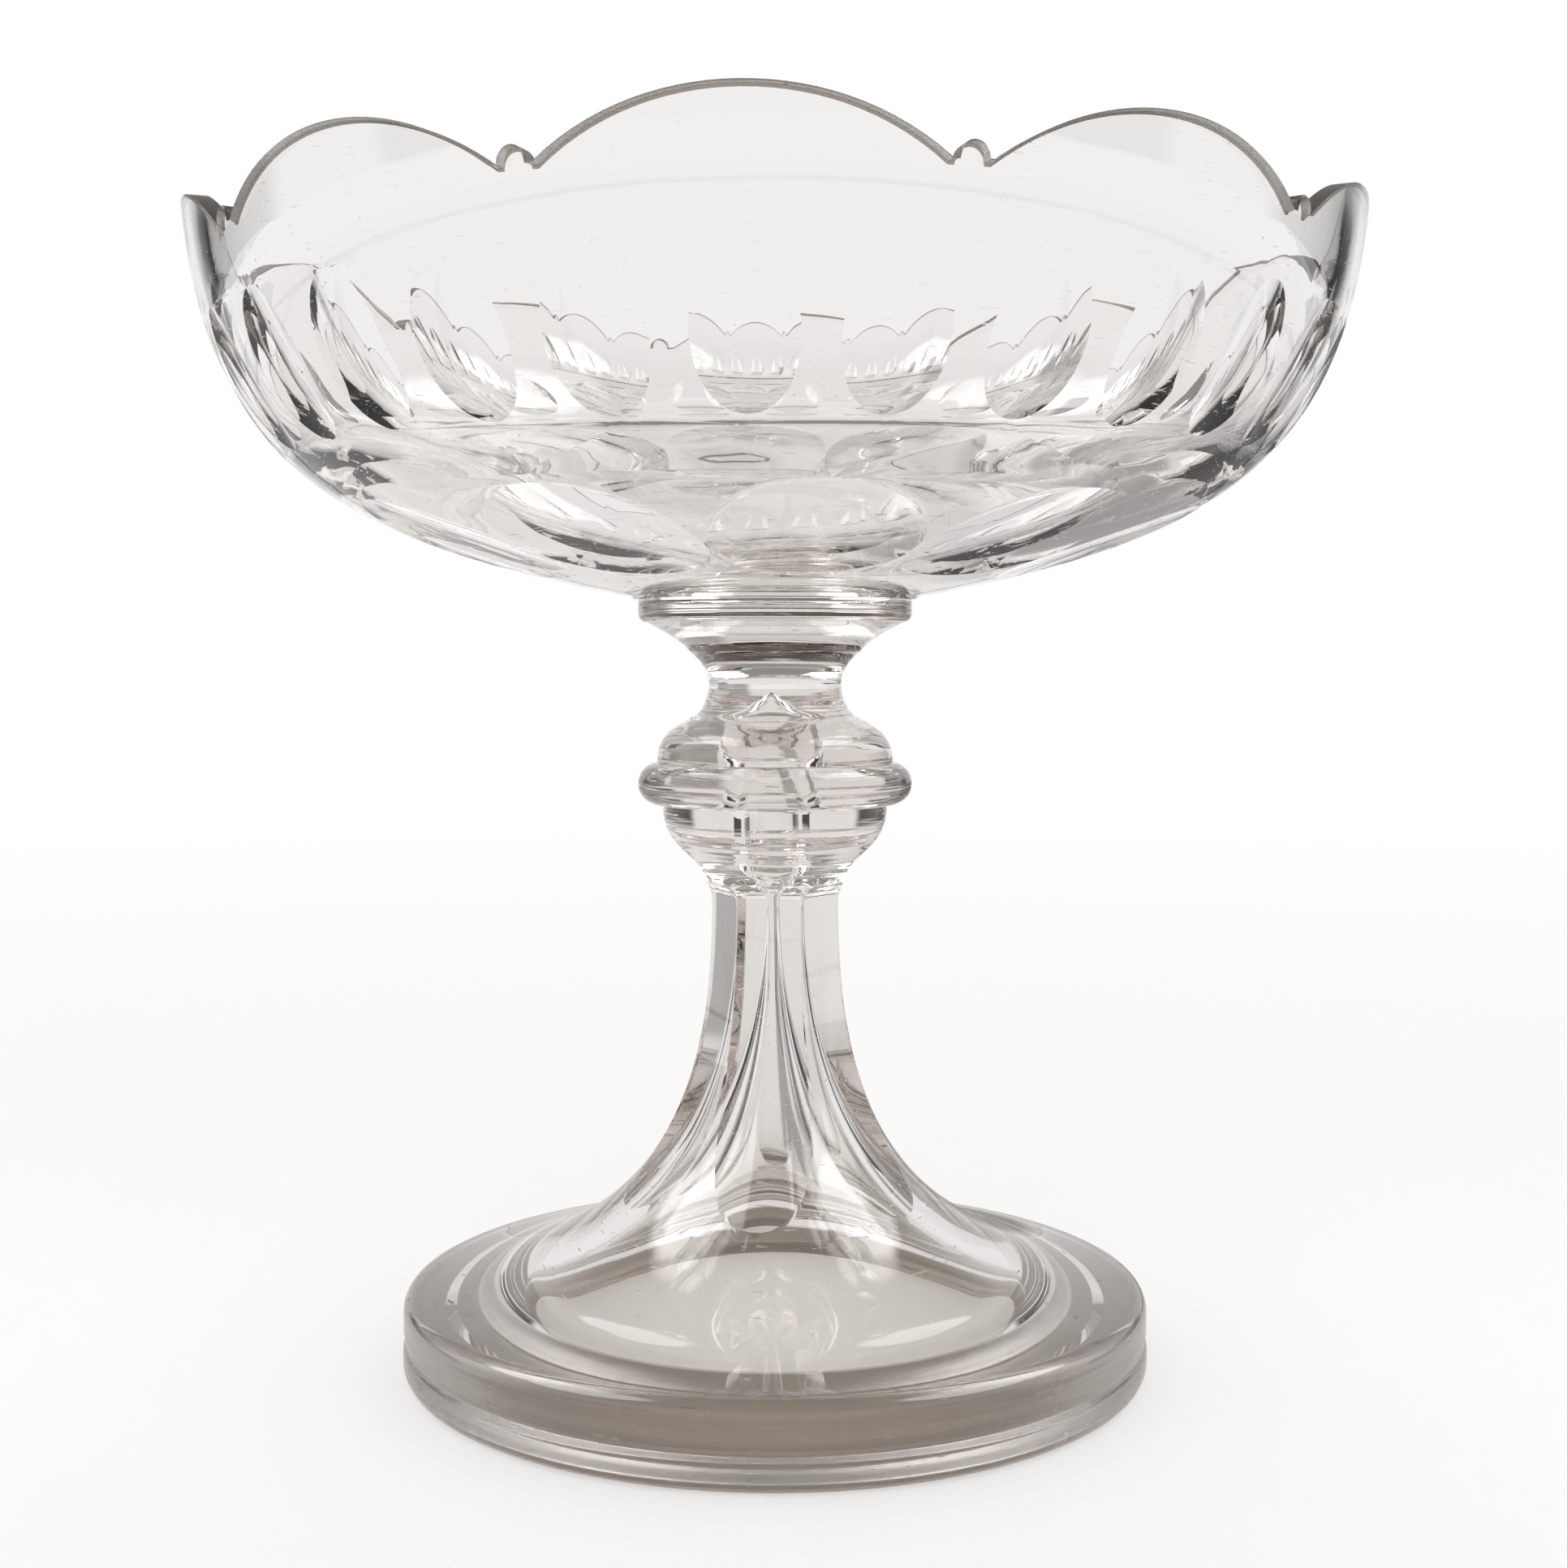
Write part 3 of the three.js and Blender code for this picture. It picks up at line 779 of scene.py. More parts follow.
@dataclass
class Bowl:
    """The bowl: a lobed rim, a row of tall ovals round the wall and printies underneath.

    The outside is one curve turned about the axis, and the inside lies a wall further in, square
    to it. Rows of the skin follow the length of the outline, and columns crowd in each zone so
    that they lie on the edges of its cuts.
    """

    rim_radius: float = 115.8
    seat_radius: float = 28.9
    seat_chamfer: float = 0.6
    collar_radius: float = 27.6
    underside_slope: float = 0.182
    wall_lean: float = 0.094
    along_underside: float = 0.666
    along_wall: float = 0.65
    floor: float = 4.7
    belly: float = 6.1
    belly_at: float = 0.34
    wall: float = 4.4
    wall_at: float = 0.62
    rim_bevel: float = 0.4
    lobes: int = 10
    lobe_turn: float = -2.65
    lobe_rise: float = 10.5
    lobe_gap: float = 7.2
    nub_width: float = 5.0
    nub_height: float = 2.7
    nub_column: int = 10
    gap_column: int = 14
    below_notches: float = 2.0
    even_by: float = 0.25
    oval_height: float = 38.2
    printy_radius: float = 64.8
    columns: int = 560
    ovals: Cut = field(default_factory=lambda: Cut(28, -2.5, 30.0, 17.4, 2.0, 7))
    printies: Cut = field(default_factory=lambda: Cut(10, 6.35, 42.0, 39.0, 1.8, 24))

    def __post_init__(self) -> None:
        """Works out both outlines, their length from the seat and the way out of the glass."""
        self.low = levels("bowl")[0]
        self.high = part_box("bowl")[1].z / MM
        tall = self.high - self.low
        down = self.along_wall * tall
        along = self.along_underside * (self.rim_radius - self.seat_radius)
        line = cubic(
            (self.seat_radius, self.seat_chamfer),
            (self.seat_radius + along, self.seat_chamfer + along * self.underside_slope),
            (self.rim_radius - down * self.wall_lean, tall - down),
            (self.rim_radius, tall),
            steps=900,
        ) + (0.0, self.low)
        tangent = np.gradient(line, axis=0)
        tangent /= np.linalg.norm(tangent, axis=1)[:, None]
        self.out = np.stack([tangent[:, 1], -tangent[:, 0]], 1)
        share = np.linspace(0.0, 1.0, len(line))
        past_belly = (share - self.belly_at) / (self.wall_at - self.belly_at)
        thick = self.floor + (self.belly - self.floor) * smooth(share / self.belly_at)
        thick += (self.wall - self.belly) * smooth(past_belly)
        self.outer = line
        self.inner = line - self.out * thick[:, None]
        self.length = lengths(line)

    def at(self, length: np.ndarray, values: np.ndarray) -> np.ndarray:
        """Values given along the outline, read at other lengths from the seat."""
        return np.stack([np.interp(length, self.length, column) for column in values.T], 1)

    def rim_drop(self, angles: np.ndarray) -> np.ndarray:
        """How far the rim lies below the tops of the lobes.

        Each lobe is an arc of a circle. Between two lobes stands half an ellipse, the nub, with
        a notch on each side of it.
        """
        half = math.pi / self.lobes
        aside = (angles - math.radians(self.lobe_turn)) % (2 * half) - half
        x = np.abs(self.rim_radius * np.sin(aside))
        spread = self.rim_radius * math.sin(half)
        reach = spread - self.lobe_gap / 2
        radius = (reach**2 + self.lobe_rise**2) / (2 * self.lobe_rise)
        lobe = radius - np.sqrt(np.clip(radius**2 - (spread - x) ** 2, 0.0, None))
        nub = np.clip(1 - (2 * x / self.nub_width) ** 2, 0.0, None)
        between = self.lobe_rise - self.nub_height * np.sqrt(nub)
        return np.where(x > self.lobe_gap / 2, np.minimum(lobe, self.lobe_rise), between)

    def rim_angles(self) -> np.ndarray:
        """Column angles that crowd at the notches, with one on each corner of them."""
        half = math.pi / self.lobes
        offset, middle = sectors(self.columns, self.lobes, math.radians(self.lobe_turn) + half)
        nub = math.asin(self.nub_width / 2 / self.rim_radius)
        gap = math.asin(self.lobe_gap / 2 / self.rim_radius)
        last = self.columns // self.lobes / 2
        places = [0, self.nub_column, self.gap_column, last]
        return middle + np.sign(offset) * np.interp(np.abs(offset), places, [0.0, nub, gap, half])

    def across(self, cuts: Cut, middle: float) -> tuple[np.ndarray, np.ndarray, np.ndarray]:
        """Rows across a row of cuts, crowded at both ends of the cuts.

        Args:
            cuts: The row of cuts.
            middle: Length along the outline to the middle of them.

        Returns:
            Each row's length along the outline, its column angles and the depth ground away.
        """
        length = middle - np.cos(np.linspace(0.0, np.pi, num=41)) * cuts.length / 2
        radius = self.at(length, self.outer)[:, 0]
        turn = cuts.angles(self.columns, cuts.edge(length - middle, radius))
        return length, turn, cuts.ground(turn, radius, length - middle)

    def build(self) -> bpy.types.Mesh:
        """Lays the skin from the seat out and up, over the rim and down into the bowl."""
        printy = np.interp(self.printy_radius, self.outer[:, 0], self.length)
        oval = np.interp(self.low + self.oval_height, self.outer[:, 1], self.length)
        low_rows, low_turn, low_depth = self.across(self.printies, printy)
        high_rows, high_turn, high_depth = self.across(self.ovals, oval)
        plain = self.high - self.lobe_rise - self.below_notches
        top = np.interp(plain, self.outer[:, 1], self.length)
        rim_turn = self.rim_angles()
        even = np.arange(self.columns) * 2 * np.pi / self.columns

        skin = Skin(self.columns)
        skin.line((0.0, self.low))
        skin.line((self.collar_radius, self.low), lead=Band.WELD)
        skin.line((self.seat_radius - self.seat_chamfer, self.low))
        self.plain(skin, (0.0, low_rows[0]), (even, low_turn[0]), steps=8, start=True)
        self.cut(skin, low_rows, low_turn, low_depth)
        self.plain(skin, (low_rows[-1], high_rows[0]), (low_turn[-1], high_turn[0]), steps=6)
        self.cut(skin, high_rows, high_turn, high_depth)
        self.plain(skin, (high_rows[-1], top), (high_turn[-1], rim_turn), steps=7)
        self.lay_rim(skin, plain, rim_turn)
        inside = self.inner[self.inner[:, 1] < plain]
        run = lengths(inside)
        where = np.linspace(run[-1], 0.0, num=40)
        down = np.stack([np.interp(where, run, column) for column in inside.T], 1)
        share = smooth(np.linspace(0.0, 1.0, len(down)) / self.even_by)[:, None]
        skin.lay(down[1:, 0], down[1:, 1], (rim_turn + (even - rim_turn) * share)[1:])
        skin.line(self.well(down[-1]))
        return skin.mesh("bowl_glass")

    def well(self, edge: np.ndarray) -> np.ndarray:
        """The middle of the floor, a low curve in from the inside's lower end."""
        share = np.linspace(1.0, 0.0, num=10)[1:]
        middle = self.low + self.floor
        return np.stack([edge[0] * share, middle + (edge[1] - middle) * share**3], 1)

    def plain(
        self,
        skin: Skin,
        length: tuple[float, float],
        turn: tuple[np.ndarray, np.ndarray],
        steps: int,
        start: bool = False,
    ) -> None:
        """Lays uncut rows, over which the columns glide from one set of angles to another.

        Args:
            skin: The skin to add to.
            length: Length along the outline where the rows start and where they end. The row at
                the end is left to what follows.
            turn: Column angles at the start and at the end.
            steps: How many steps they take.
            start: True to lay the row at the start too.
        """
        share = np.linspace(0.0, 1.0, steps + 1)[(0 if start else 1) : -1]
        spot = self.at(length[0] + (length[1] - length[0]) * share, self.outer)
        glide = smooth(share)[:, None]
        skin.lay(spot[:, 0], spot[:, 1], turn[0] + (turn[1] - turn[0]) * glide)

    def cut(self, skin: Skin, length: np.ndarray, turn: np.ndarray, depth: np.ndarray) -> None:
        """Lays rows whose points are moved into the glass, square to the outline."""
        spot = self.at(length, self.outer)
        out = self.at(length, self.out)
        radius = spot[:, :1] - out[:, :1] * depth
        height = spot[:, 1:] - out[:, 1:] * depth
        skin.lay(radius, height, turn)

    def lay_rim(self, skin: Skin, plain: float, turn: np.ndarray) -> None:
        """Lays the wall up to the lobes, the ground rim with its fine bevels, and the way back.

        Args:
            skin: The skin to add to.
            plain: The height up to which the wall is uncut.
            turn: Column angles.
        """
        bevel = self.rim_bevel
        rim = self.high - self.rim_drop(turn)[None]
        share = np.linspace(0.0, 1.0, num=7)[:, None]
        height = plain + (rim - bevel - plain) * share
        outer = np.interp(height, self.outer[:, 1], self.outer[:, 0])
        inner = np.interp(height, self.inner[:, 1], self.inner[:, 0])
        skin.lay(outer, height, turn)
        skin.lay(outer[-1:] - bevel, rim, turn, lead=Band.GROUND)
        skin.lay(inner[-1:] + bevel, rim, turn, lead=Band.GROUND)
        skin.lay(inner[::-1], height[::-1], turn, lead=Band.GROUND)


def linear(hexadecimal: str) -> tuple[float, float, float, float]:
    """An sRGB hex colour as linear red, green, blue and alpha, by the sRGB curve."""
    values = [int(hexadecimal[i : i + 2], 16) / 255 for i in (1, 3, 5)]
    bent = [v / 12.92 if v <= 0.04045 else ((v + 0.055) / 1.055) ** 2.4 for v in values]
    return (*bent, 1.0)


def add(
    tree: bpy.types.NodeTree,
    kind: str,
    links: dict | None = None,
    **settings: object,
) -> bpy.types.Node:
    """Adds a node with its settings and links.

    Args:
        tree: The node tree.
        kind: The node's type name, without the ShaderNode that all of them start with.
        links: What goes into the node's inputs, by name or number: a value, an output socket,
            or a node, which stands for its first output in use.
        settings: Properties of the node itself.

    Returns:
        The node.
    """
    node = tree.nodes.new("ShaderNode" + kind)
    for key, value in settings.items():
        setattr(node, key, value)
    for key, value in (links or {}).items():
        socket = next(s for i, s in enumerate(node.inputs) if s.enabled and key in (i, s.name))
        if isinstance(value, bpy.types.Node):
            value = next(output for output in value.outputs if output.enabled)
        if isinstance(value, bpy.types.NodeSocket):
            tree.links.new(value, socket)
        else:
            socket.default_value = value
    return node


def empty_tree(owner: bpy.types.Material | bpy.types.World) -> bpy.types.NodeTree:
    """Turns a material's or a world's nodes on, clears them and returns their tree."""
    owner.use_nodes = True
    owner.node_tree.nodes.clear()
    return owner.node_tree


@dataclass(frozen=True)
class SodaGlass:
    """Clear soda-lime glass of the mid 19th century, blown, cut and fire polished.

    It is brilliant and almost colourless where it is thin. A trace of manganese gives it a warm
    grey cast that deepens with the length of glass that the eye looks through. Hand work leaves
    it faintly wavy, and use leaves fine scratches and specks, drawn coarser than they are so that
    they show. The rim's top, the lip of the foot's hollow and the edge that the foot stands on are
    matt, and their dark grey-brown base colour is painted shade, which makes them show dark through
    the glass.
    """

    name: str = "soda_glass_cut_and_polished"
    ior: float = 1.52
    colour: str = "#FBFAF9"
    tint: str = "#C9BDB4"
    density: float = 10.0
    wave_length: float = 14.0
    wave_height: float = 0.03
    scratch_length: float = 5.0
    scratch_width: float = 0.3
    scratch_from: float = 0.745
    scratch_to: float = 0.77
    scratch_depth: float = 0.005
    speck_spacing: float = 5.0
    speck_radius: float = 0.22
    wear_roughness: float = 0.5
    lip_height: float = 9.25
    lip_radius: float = 60.5
    worn_height: float = 1.1
    worn_radius: float = 63.0
    matt_fade: float = 1.0
    ground_roughness: float = 0.45
    # A dark base colour of painted shade on the matt glass, which darkens the foot's side and the
    # rim.
    matt_painted_shade: str = "#74675A"

    def ground(self, tree: bpy.types.NodeTree, place: bpy.types.Node) -> bpy.types.Node:
        """How matt the glass is, which also lays the painted shade: 1 where it was ground or worn,
        0 where it is polished.

        The foot is matt below lip_height inside lip_radius, and below worn_height outside
        worn_radius, wholly so from matt_fade further down. The narrow ring between the two radii
        is polished. The rim's top is matt by the attribute of its faces.

        Args:
            tree: The material's nodes.
            place: The point, in millimetres.

        Returns:
            The node that gives the share.
        """
        axes = add(tree, "SeparateXYZ", {0: place})
        flat = add(tree, "CombineXYZ", {"X": axes.outputs["X"], "Y": axes.outputs["Y"]})
        away = add(tree, "VectorMath", {0: flat}, operation="LENGTH")
        top = add(tree, "MapRange", {
            "Value": away,
            "From Min": self.lip_radius,
            "From Max": self.worn_radius,
            "To Min": self.lip_height,
            "To Max": self.worn_height,
        })
        depth = add(tree, "Math", {0: top, 1: axes.outputs["Z"]}, operation="SUBTRACT")
        low = add(tree, "MapRange", {"Value": depth, "From Max": self.matt_fade})
        in_ring = add(tree, "Math", {
            0: away,
            1: (self.lip_radius + self.worn_radius) / 2,
            2: (self.worn_radius - self.lip_radius) / 2,
        }, operation="COMPARE")
        out_of_ring = add(tree, "Math", {0: 1.0, 1: in_ring}, operation="SUBTRACT")
        foot = add(tree, "Math", {0: out_of_ring, 1: low}, operation="MULTIPLY")
        rim = add(tree, "Attribute", attribute_name=Band.GROUND.value, attribute_type="GEOMETRY")
        return add(tree, "Math", {0: foot, 1: rim.outputs["Fac"]}, operation="MAXIMUM")

    def scratches(self, tree: bpy.types.NodeTree, place: bpy.types.Node) -> bpy.types.Node:
        """Where scratches lie: the highest parts of a noise that is stretched along the wiping."""
        stretched = add(tree, "VectorMath", {
            0: place,
            1: (1 / self.scratch_length, 1 / self.scratch_length, 1 / self.scratch_width),
        }, operation="MULTIPLY")
        grain = add(tree, "TexNoise", {"Vector": stretched, "Scale": 1.0, "Detail": 1.0})
        return add(tree, "MapRange", {
            "Value": grain,
            "From Min": self.scratch_from,
            "From Max": self.scratch_to,
        })

    def specks(self, tree: bpy.types.NodeTree, place: bpy.types.Node) -> bpy.types.Node:
        """Where specks lie: within a small radius of scattered points."""
        cells = add(tree, "TexVoronoi", {"Vector": place, "Scale": 1 / self.speck_spacing})
        reach = self.speck_radius / self.speck_spacing
        return add(tree, "Math", {0: cells, 1: reach}, operation="LESS_THAN")

    def material(self) -> bpy.types.Material:
        """Makes the node tree: Principled glass with painted shade on its matt parts, absorption
        inside and open weld faces.
        """
        made = bpy.data.materials.new(self.name)
        tree = empty_tree(made)
        where = add(tree, "TexCoord").outputs["Object"]
        place = add(tree, "VectorMath", {0: where, "Scale": 1 / MM}, operation="SCALE")
        wavy = add(tree, "TexNoise", {
            "Vector": place,
            "Scale": 1 / self.wave_length,
            "Detail": 1.0,
        })
        waves = add(tree, "Bump", {"Height": wavy, "Distance": self.wave_height * MM})
        scratches = self.scratches(tree, place)
        cuts = add(tree, "Bump", {
            "Height": scratches,
            "Distance": self.scratch_depth * MM,
            "Normal": waves,
        }, invert=True)
        wear = add(tree, "Math", {0: scratches, 1: self.specks(tree, place)}, operation="MAXIMUM")
        worn = add(tree, "Math", {0: wear, 1: self.wear_roughness}, operation="MULTIPLY")
        ground = self.ground(tree, place)
        # Where the glass is matt, its base colour turns to a dark grey-brown of painted shade.
        colour = add(tree, "Mix", {
            "Factor": ground,
            "A": linear(self.colour),
            "B": linear(self.matt_painted_shade),
        }, data_type="RGBA")
        rough = add(tree, "Math", {
            0: ground,
            1: self.ground_roughness,
            2: worn,
        }, operation="MULTIPLY_ADD")
        weld = add(tree, "Attribute", attribute_name=Band.WELD.value, attribute_type="GEOMETRY")
        alpha = add(tree, "Math", {0: 1.0, 1: weld.outputs["Fac"]}, operation="SUBTRACT")
        surface = add(tree, "BsdfPrincipled", {
            "Base Color": colour,
            "Roughness": rough,
            "IOR": self.ior,
            "Transmission Weight": 1.0,
            "Alpha": alpha,
            "Normal": cuts,
        })
        inside = add(tree, "VolumeAbsorption", {
            "Color": linear(self.tint),
            "Density": self.density,
        })
        add(tree, "OutputMaterial", {"Surface": surface, "Volume": inside})
        return made


@dataclass(frozen=True)
class PhotoCamera:
    """A level camera in front, which was fitted to the ellipses of the rim, the disc and the foot.

    The compote's axis stands at axis_column of the image, and horizon_row is level with the
    camera. distance_pixels is how far the camera stands from the axis, in pixels of the image
    there, and so it is the lens's focal length in pixels too.
    """

    image: tuple[float, float] = (1931.0, 1932.0)
    axis_column: float = 955.0
    horizon_row: float = 814.0
    distance_pixels: float = 2640.0
    millimetres_per_pixel: float = 0.164
    height: float = 140.5
    sensor: float = 36.0
    nearest: float = 10.0

    def place(self) -> None:
        """Makes the camera and gives it to the scene."""
        width, height = self.image
        data = bpy.data.cameras.new("photo_camera")
        data.sensor_width = self.sensor
        data.lens = self.sensor * self.distance_pixels / width
        data.shift_x = (width / 2 - self.axis_column) / width
        data.shift_y = (self.horizon_row - height / 2) / width
        data.clip_start = self.nearest * MM
        distance = self.distance_pixels * self.millimetres_per_pixel
        eye = bpy.data.objects.new("photo_camera", data)
        eye.location = (0.0, -distance * MM, self.height * MM)
        eye.rotation_euler = (math.pi / 2, 0.0, 0.0)
        bpy.context.scene.collection.objects.link(eye)
        bpy.context.scene.camera = eye


@dataclass(frozen=True)
class Table:
    """A round pale table with a grey edge, with a painted shadow under the foot, fading to white
    beyond.

    Its lengths are metres, counted from the compote's axis.
    """

    under_reach: float = 0.08
    under_fade: float = 0.12
    under_painted_shadow: str = "#E1DDDA"
    reach: float = 1.12
    colour: str = "#F0EFEE"
    edge: float = 0.05
    edge_colour: str = "#808080"
    beyond: float = 0.7

    def tone(self, tree: bpy.types.NodeTree, away: bpy.types.Node) -> bpy.types.Node:
        """The colour of the floor at a distance from the axis.

        Args:
            tree: The floor's nodes.
            away: The distance.

        Returns:
            The node that gives the colour.
        """
        shown = 2 * self.reach
        place = add(tree, "Math", {0: away, 1: shown}, operation="DIVIDE")
        ramp = add(tree, "ValToRGB", {0: place})
        stops = (
            # The darker colour under the foot is a painted shadow.
            (0.0, self.under_painted_shadow),
            (self.under_reach, self.under_painted_shadow),
            (self.under_reach + self.under_fade, self.colour),
            (self.reach - self.edge, self.colour),
            (self.reach - self.edge / 2, self.edge_colour),
            (self.reach + self.edge / 2, self.edge_colour),
            (self.reach + self.edge, self.colour),
            (self.reach + self.beyond, WHITE),
        )
        made = ramp.color_ramp.elements
        for i, (reach, colour) in enumerate(stops):
            stop = made[i] if i < 2 else made.new(reach / shown)
            stop.position, stop.color = reach / shown, linear(colour)
        return ramp


@dataclass(frozen=True)
class PaintedShadePatch:
    """A patch of painted shade that lies on the table behind the compote, on the right.

    It lies way degrees from the back towards +X and widens away from the compote, dark up to core
    degrees on each side of that and gone at edge degrees. Its lengths are metres.
    """

    way: float = 32.0
    edge: float = 19.0
    core: float = 13.0
    start: float = 0.1
    fade: float = 0.04
    level: float = 0.45

    def shade(self, tree: bpy.types.NodeTree, where: bpy.types.NodeSocket) -> bpy.types.Node:
        """The share of the table's brightness that is left, 1 off the painted shade.

        Args:
            tree: The floor's nodes.
            where: The point of the floor.

        Returns:
            The node that gives the share.
        """
        way = math.radians(self.way)
        across = (math.cos(way), -math.sin(way), 0.0)
        outwards = (math.sin(way), math.cos(way), 0.0)
        aside = add(tree, "VectorMath", {0: where, 1: across}, operation="DOT_PRODUCT")
        along = add(tree, "VectorMath", {0: where, 1: outwards}, operation="DOT_PRODUCT")
        turned = add(tree, "Math", {0: aside, 1: along}, operation="ARCTAN2")
        off = add(tree, "Math", {0: turned}, operation="ABSOLUTE")
        narrow = add(tree, "MapRange", {
            "Value": off,
            "From Min": math.radians(self.edge),
            "From Max": math.radians(self.core),
        }, interpolation_type="SMOOTHSTEP")
        past = add(tree, "MapRange", {
            "Value": along,
            "From Min": self.start,
            "From Max": self.start + self.fade,
        }, interpolation_type="SMOOTHSTEP")
        on = add(tree, "Math", {0: narrow, 1: past}, operation="MULTIPLY")
        return add(tree, "MapRange", {"Value": on, "To Min": 1.0, "To Max": self.level})


@dataclass(frozen=True)
class Floor:
    """The plain pale floor, which takes the compote's shadow.

    Near the compote part of it is lit, so that it shows shade, and the rest glows white. Further
    off it only glows, for the camera and for the glass. The table and the painted shade on it show
    only in the glass. Its lengths are metres.
    """

    size: float = 40.0
    drop: float = 0.0002
    colour: str = "#FBFAF8"
    near_share: float = 0.52
    plain_from: float = 0.35
    plain_to: float = 1.6
    table: Table = Table()
    painted_shade_patch: PaintedShadePatch = PaintedShadePatch()

    def material(self) -> bpy.types.Material:
        """Mixes matt and glowing white by distance, with the table's tones for the glass."""
        made = bpy.data.materials.new("pale_studio_floor")
        tree = empty_tree(made)
        where = add(tree, "TexCoord").outputs["Object"]
        away = add(tree, "VectorMath", {0: where}, operation="LENGTH")
        glowing = add(tree, "MapRange", {
            "Value": away,
            "From Min": self.plain_from,
            "From Max": self.plain_to,
            "To Min": self.near_share,
        }, interpolation_type="SMOOTHSTEP")
        ray = add(tree, "LightPath").outputs
        direct = ray["Is Camera Ray"]
        sharp = add(tree, "Math", {0: direct, 1: ray["Is Glossy Ray"]}, operation="MAXIMUM")
        seen = add(tree, "Math", {0: sharp, 1: ray["Is Transmission Ray"]}, operation="MAXIMUM")
        share = add(tree, "Math", {0: glowing, 1: seen}, operation="MULTIPLY")
        table = self.table.tone(tree, away)
        # A patch of painted shade darkens the table where the glass shows it.
        painted_shade_patch = self.painted_shade_patch.shade(tree, where)
        in_glass = add(tree, "VectorMath", {0: table, "Scale": painted_shade_patch}, operation="SCALE")
        tone = add(tree, "Mix", {
            "Factor": direct,
            "A": in_glass,
            "B": linear(WHITE),
        }, data_type="RGBA")
        lit = add(tree, "Mix", {
            "Factor": 1.0,
            "A": tone,
            "B": linear(self.colour),
        }, data_type="RGBA", blend_type="MULTIPLY")
        matt = add(tree, "BsdfDiffuse", {"Color": lit})
        glow = add(tree, "Emission", {"Color": tone})
        mixed = add(tree, "MixShader", {"Fac": share, 1: matt, 2: glow})
        add(tree, "OutputMaterial", {"Surface": mixed})
        return made

    def lay(self) -> None:
        """Lays the floor a hair below the foot."""
        half = self.size / 2
        corners = [(-half, -half, 0.0), (half, -half, 0.0), (half, half, 0.0), (-half, half, 0.0)]
        mesh = bpy.data.meshes.new("floor")
        mesh.from_pydata(corners, [], [(0, 1, 2, 3)])
        mesh.materials.append(self.material())
        plane = bpy.data.objects.new("floor", mesh)
        plane.location.z = -self.drop
        bpy.context.scene.collection.objects.link(plane)


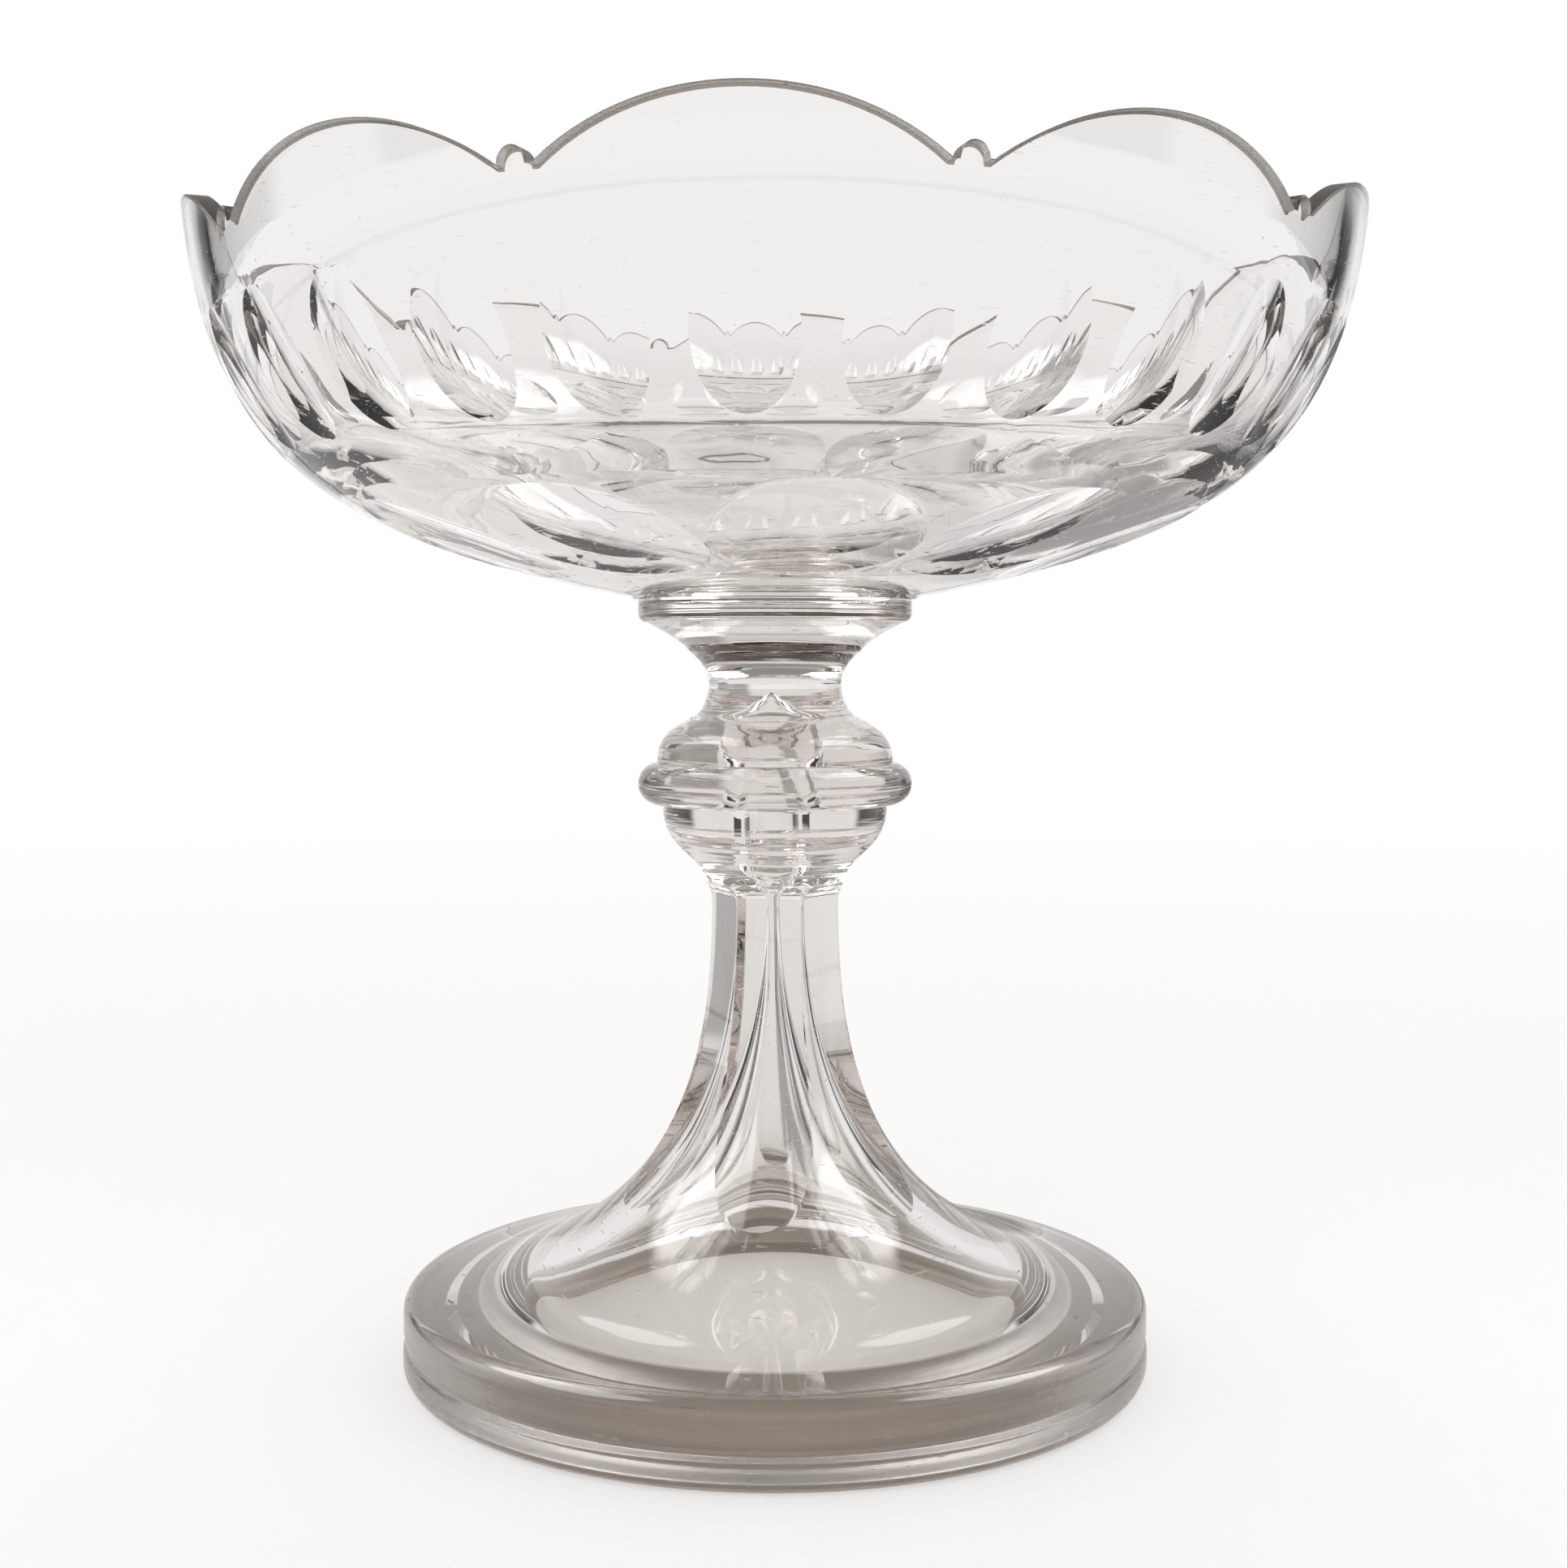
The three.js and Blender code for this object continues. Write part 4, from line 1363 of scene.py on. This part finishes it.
@dataclass(frozen=True)
class Surround:
    """The light all round: white, and dimmer overhead, with four dark flags and four soft boxes.

    The camera and matt surfaces see plain white, and only the glass shows the rest. Heights are
    those of a direction, 0 level and 1 straight up. Each quarter of the circle holds a flag, which
    stands low at flag_way degrees from the front or the back, and a soft box high up towards
    gleam_way, which gives the glass its gleams.
    """

    heights: tuple = ((0.0, 0.92), (0.44, 0.92), (0.54, 0.5), (0.62, 0.3))
    flag_way: float = 55.0
    flag_edge: float = 23.0
    flag_core: float = 17.0
    flag_top: float = 0.22
    flag_level: float = 0.03
    gleam_way: tuple[float, float, float] = (0.633, 0.149, 0.76)
    gleam_edge: float = 18.0
    gleam_core: float = 12.0
    gleam_level: float = 5.2

    def white(self, tree: bpy.types.NodeTree, up: bpy.types.NodeSocket) -> bpy.types.Node:
        """The level of the white at a height."""
        ramp = add(tree, "ValToRGB", {0: up})
        made = ramp.color_ramp.elements
        for i, (height, level) in enumerate(self.heights):
            stop = made[i] if i < 2 else made.new(height)
            stop.position, stop.color = height, (level, level, level, 1.0)
        return ramp

    def flags(
        self,
        tree: bpy.types.NodeTree,
        quarter_way: bpy.types.Node,
        up: bpy.types.NodeSocket,
    ) -> bpy.types.Node:
        """The share of the white that the flags leave, 1 beside and above them.

        Args:
            tree: The world's nodes.
            quarter_way: The direction, folded into one quarter of the circle.
            up: Its height.

        Returns:
            The node that gives the share.
        """
        axes = add(tree, "SeparateXYZ", {0: quarter_way}).outputs
        azimuth = add(tree, "Math", {0: axes["X"], 1: axes["Y"]}, operation="ARCTAN2")
        off = add(tree, "Math", {0: azimuth, 1: math.radians(self.flag_way)}, operation="SUBTRACT")
        beside = add(tree, "Math", {0: off}, operation="ABSOLUTE")
        across = add(tree, "MapRange", {
            "Value": beside,
            "From Min": math.radians(self.flag_edge),
            "From Max": math.radians(self.flag_core),
        }, interpolation_type="SMOOTHSTEP")
        below = add(tree, "MapRange", {
            "Value": up,
            "From Min": self.flag_top,
            "From Max": self.flag_top / 2,
        }, interpolation_type="SMOOTHSTEP")
        on = add(tree, "Math", {0: across, 1: below}, operation="MULTIPLY")
        return add(tree, "MapRange", {"Value": on, "To Min": 1.0, "To Max": self.flag_level})

    def gleam(self, tree: bpy.types.NodeTree, quarter_way: bpy.types.Node) -> bpy.types.Node:
        """The soft boxes' level, by the cosine of the angle between a direction and theirs."""
        near = add(tree, "VectorMath", {
            0: quarter_way,
            1: self.gleam_way,
        }, operation="DOT_PRODUCT")
        return add(tree, "MapRange", {
            "Value": near,
            "From Min": math.cos(math.radians(self.gleam_edge)),
            "From Max": math.cos(math.radians(self.gleam_core)),
            "To Max": self.gleam_level,
        }, interpolation_type="SMOOTHSTEP")

    def light(self) -> None:
        """Makes the world and gives it to the scene."""
        world = bpy.data.worlds.new("studio")
        bpy.context.scene.world = world
        tree = empty_tree(world)
        way = add(tree, "TexCoord").outputs["Generated"]
        quarter_way = add(tree, "VectorMath", {0: way}, operation="ABSOLUTE")
        up = add(tree, "SeparateXYZ", {0: way}).outputs["Z"]
        flags = self.flags(tree, quarter_way, up)
        flagged = add(tree, "Math", {0: self.white(tree, up), 1: flags}, operation="MULTIPLY")
        ray = add(tree, "LightPath").outputs
        lit = add(tree, "Math", {
            0: self.gleam(tree, quarter_way),
            1: ray["Is Glossy Ray"],
            2: flagged,
        }, operation="MULTIPLY_ADD")
        scattered = add(tree, "Math", {0: ray["Diffuse Depth"], 1: 0.5}, operation="GREATER_THAN")
        plain = add(tree, "Math", {0: ray["Is Camera Ray"], 1: scattered}, operation="MAXIMUM")
        level = add(tree, "Math", {0: lit, 1: plain}, operation="MAXIMUM")
        glow = add(tree, "Background", {"Color": linear(WHITE), "Strength": level})
        add(tree, "OutputWorld", {"Surface": glow})


@dataclass(frozen=True)
class Studio:
    """The camera, the floor and the light, with bounces enough to cross every wall of the glass."""

    camera: PhotoCamera = PhotoCamera()
    floor: Floor = Floor()
    surround: Surround = Surround()
    glass_bounces: int = 24
    mirror_bounces: int = 12
    open_faces: int = 48

    def build(self) -> None:
        """Sets the view up and makes everything round the compote."""
        scene = bpy.context.scene
        scene.view_settings.view_transform = "Standard"
        scene.cycles.max_bounces = self.glass_bounces
        scene.cycles.transmission_bounces = self.glass_bounces
        scene.cycles.glossy_bounces = self.mirror_bounces
        scene.cycles.transparent_max_bounces = self.open_faces
        self.camera.place()
        self.floor.lay()
        self.surround.light()


def show(mesh: bpy.types.Mesh, node: str, finish: bpy.types.Material) -> None:
    """Puts a gather's skin in the place of its node of the frame.

    Args:
        mesh: The skin.
        node: The node that it stands for.
        finish: Its material.
    """
    mesh.materials.append(finish)
    piece = bpy.data.objects.new(mesh.name, mesh)
    bpy.context.scene.collection.objects.link(piece)
    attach(piece, "root")
    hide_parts(node)
    LOG.info("%s: %d faces", node, len(mesh.polygons))


def main() -> None:
    """Builds the studio, then the compote from the foot up."""
    logging.basicConfig(level=logging.INFO, format="%(message)s")
    Studio().build()
    glass = SodaGlass().material()
    flare, bubble = Flare(), Bubble()
    knop, collar = Knop(bubble), Collar(bubble)
    show(Foot(flare, bubble).build(), "foot", glass)
    show(Stem(flare, bubble).build(), "stem", glass)
    show(knop.build_lower(), "lower_knop", glass)
    show(knop.build_ring(), "knop_ring", glass)
    show(knop.build_upper(), "upper_knop", glass)
    show(collar.build_neck(), "neck", glass)
    show(collar.build_disc(), "collar_disc", glass)
    show(Bowl().build(), "bowl", glass)


if __name__ == "__main__":
    main()
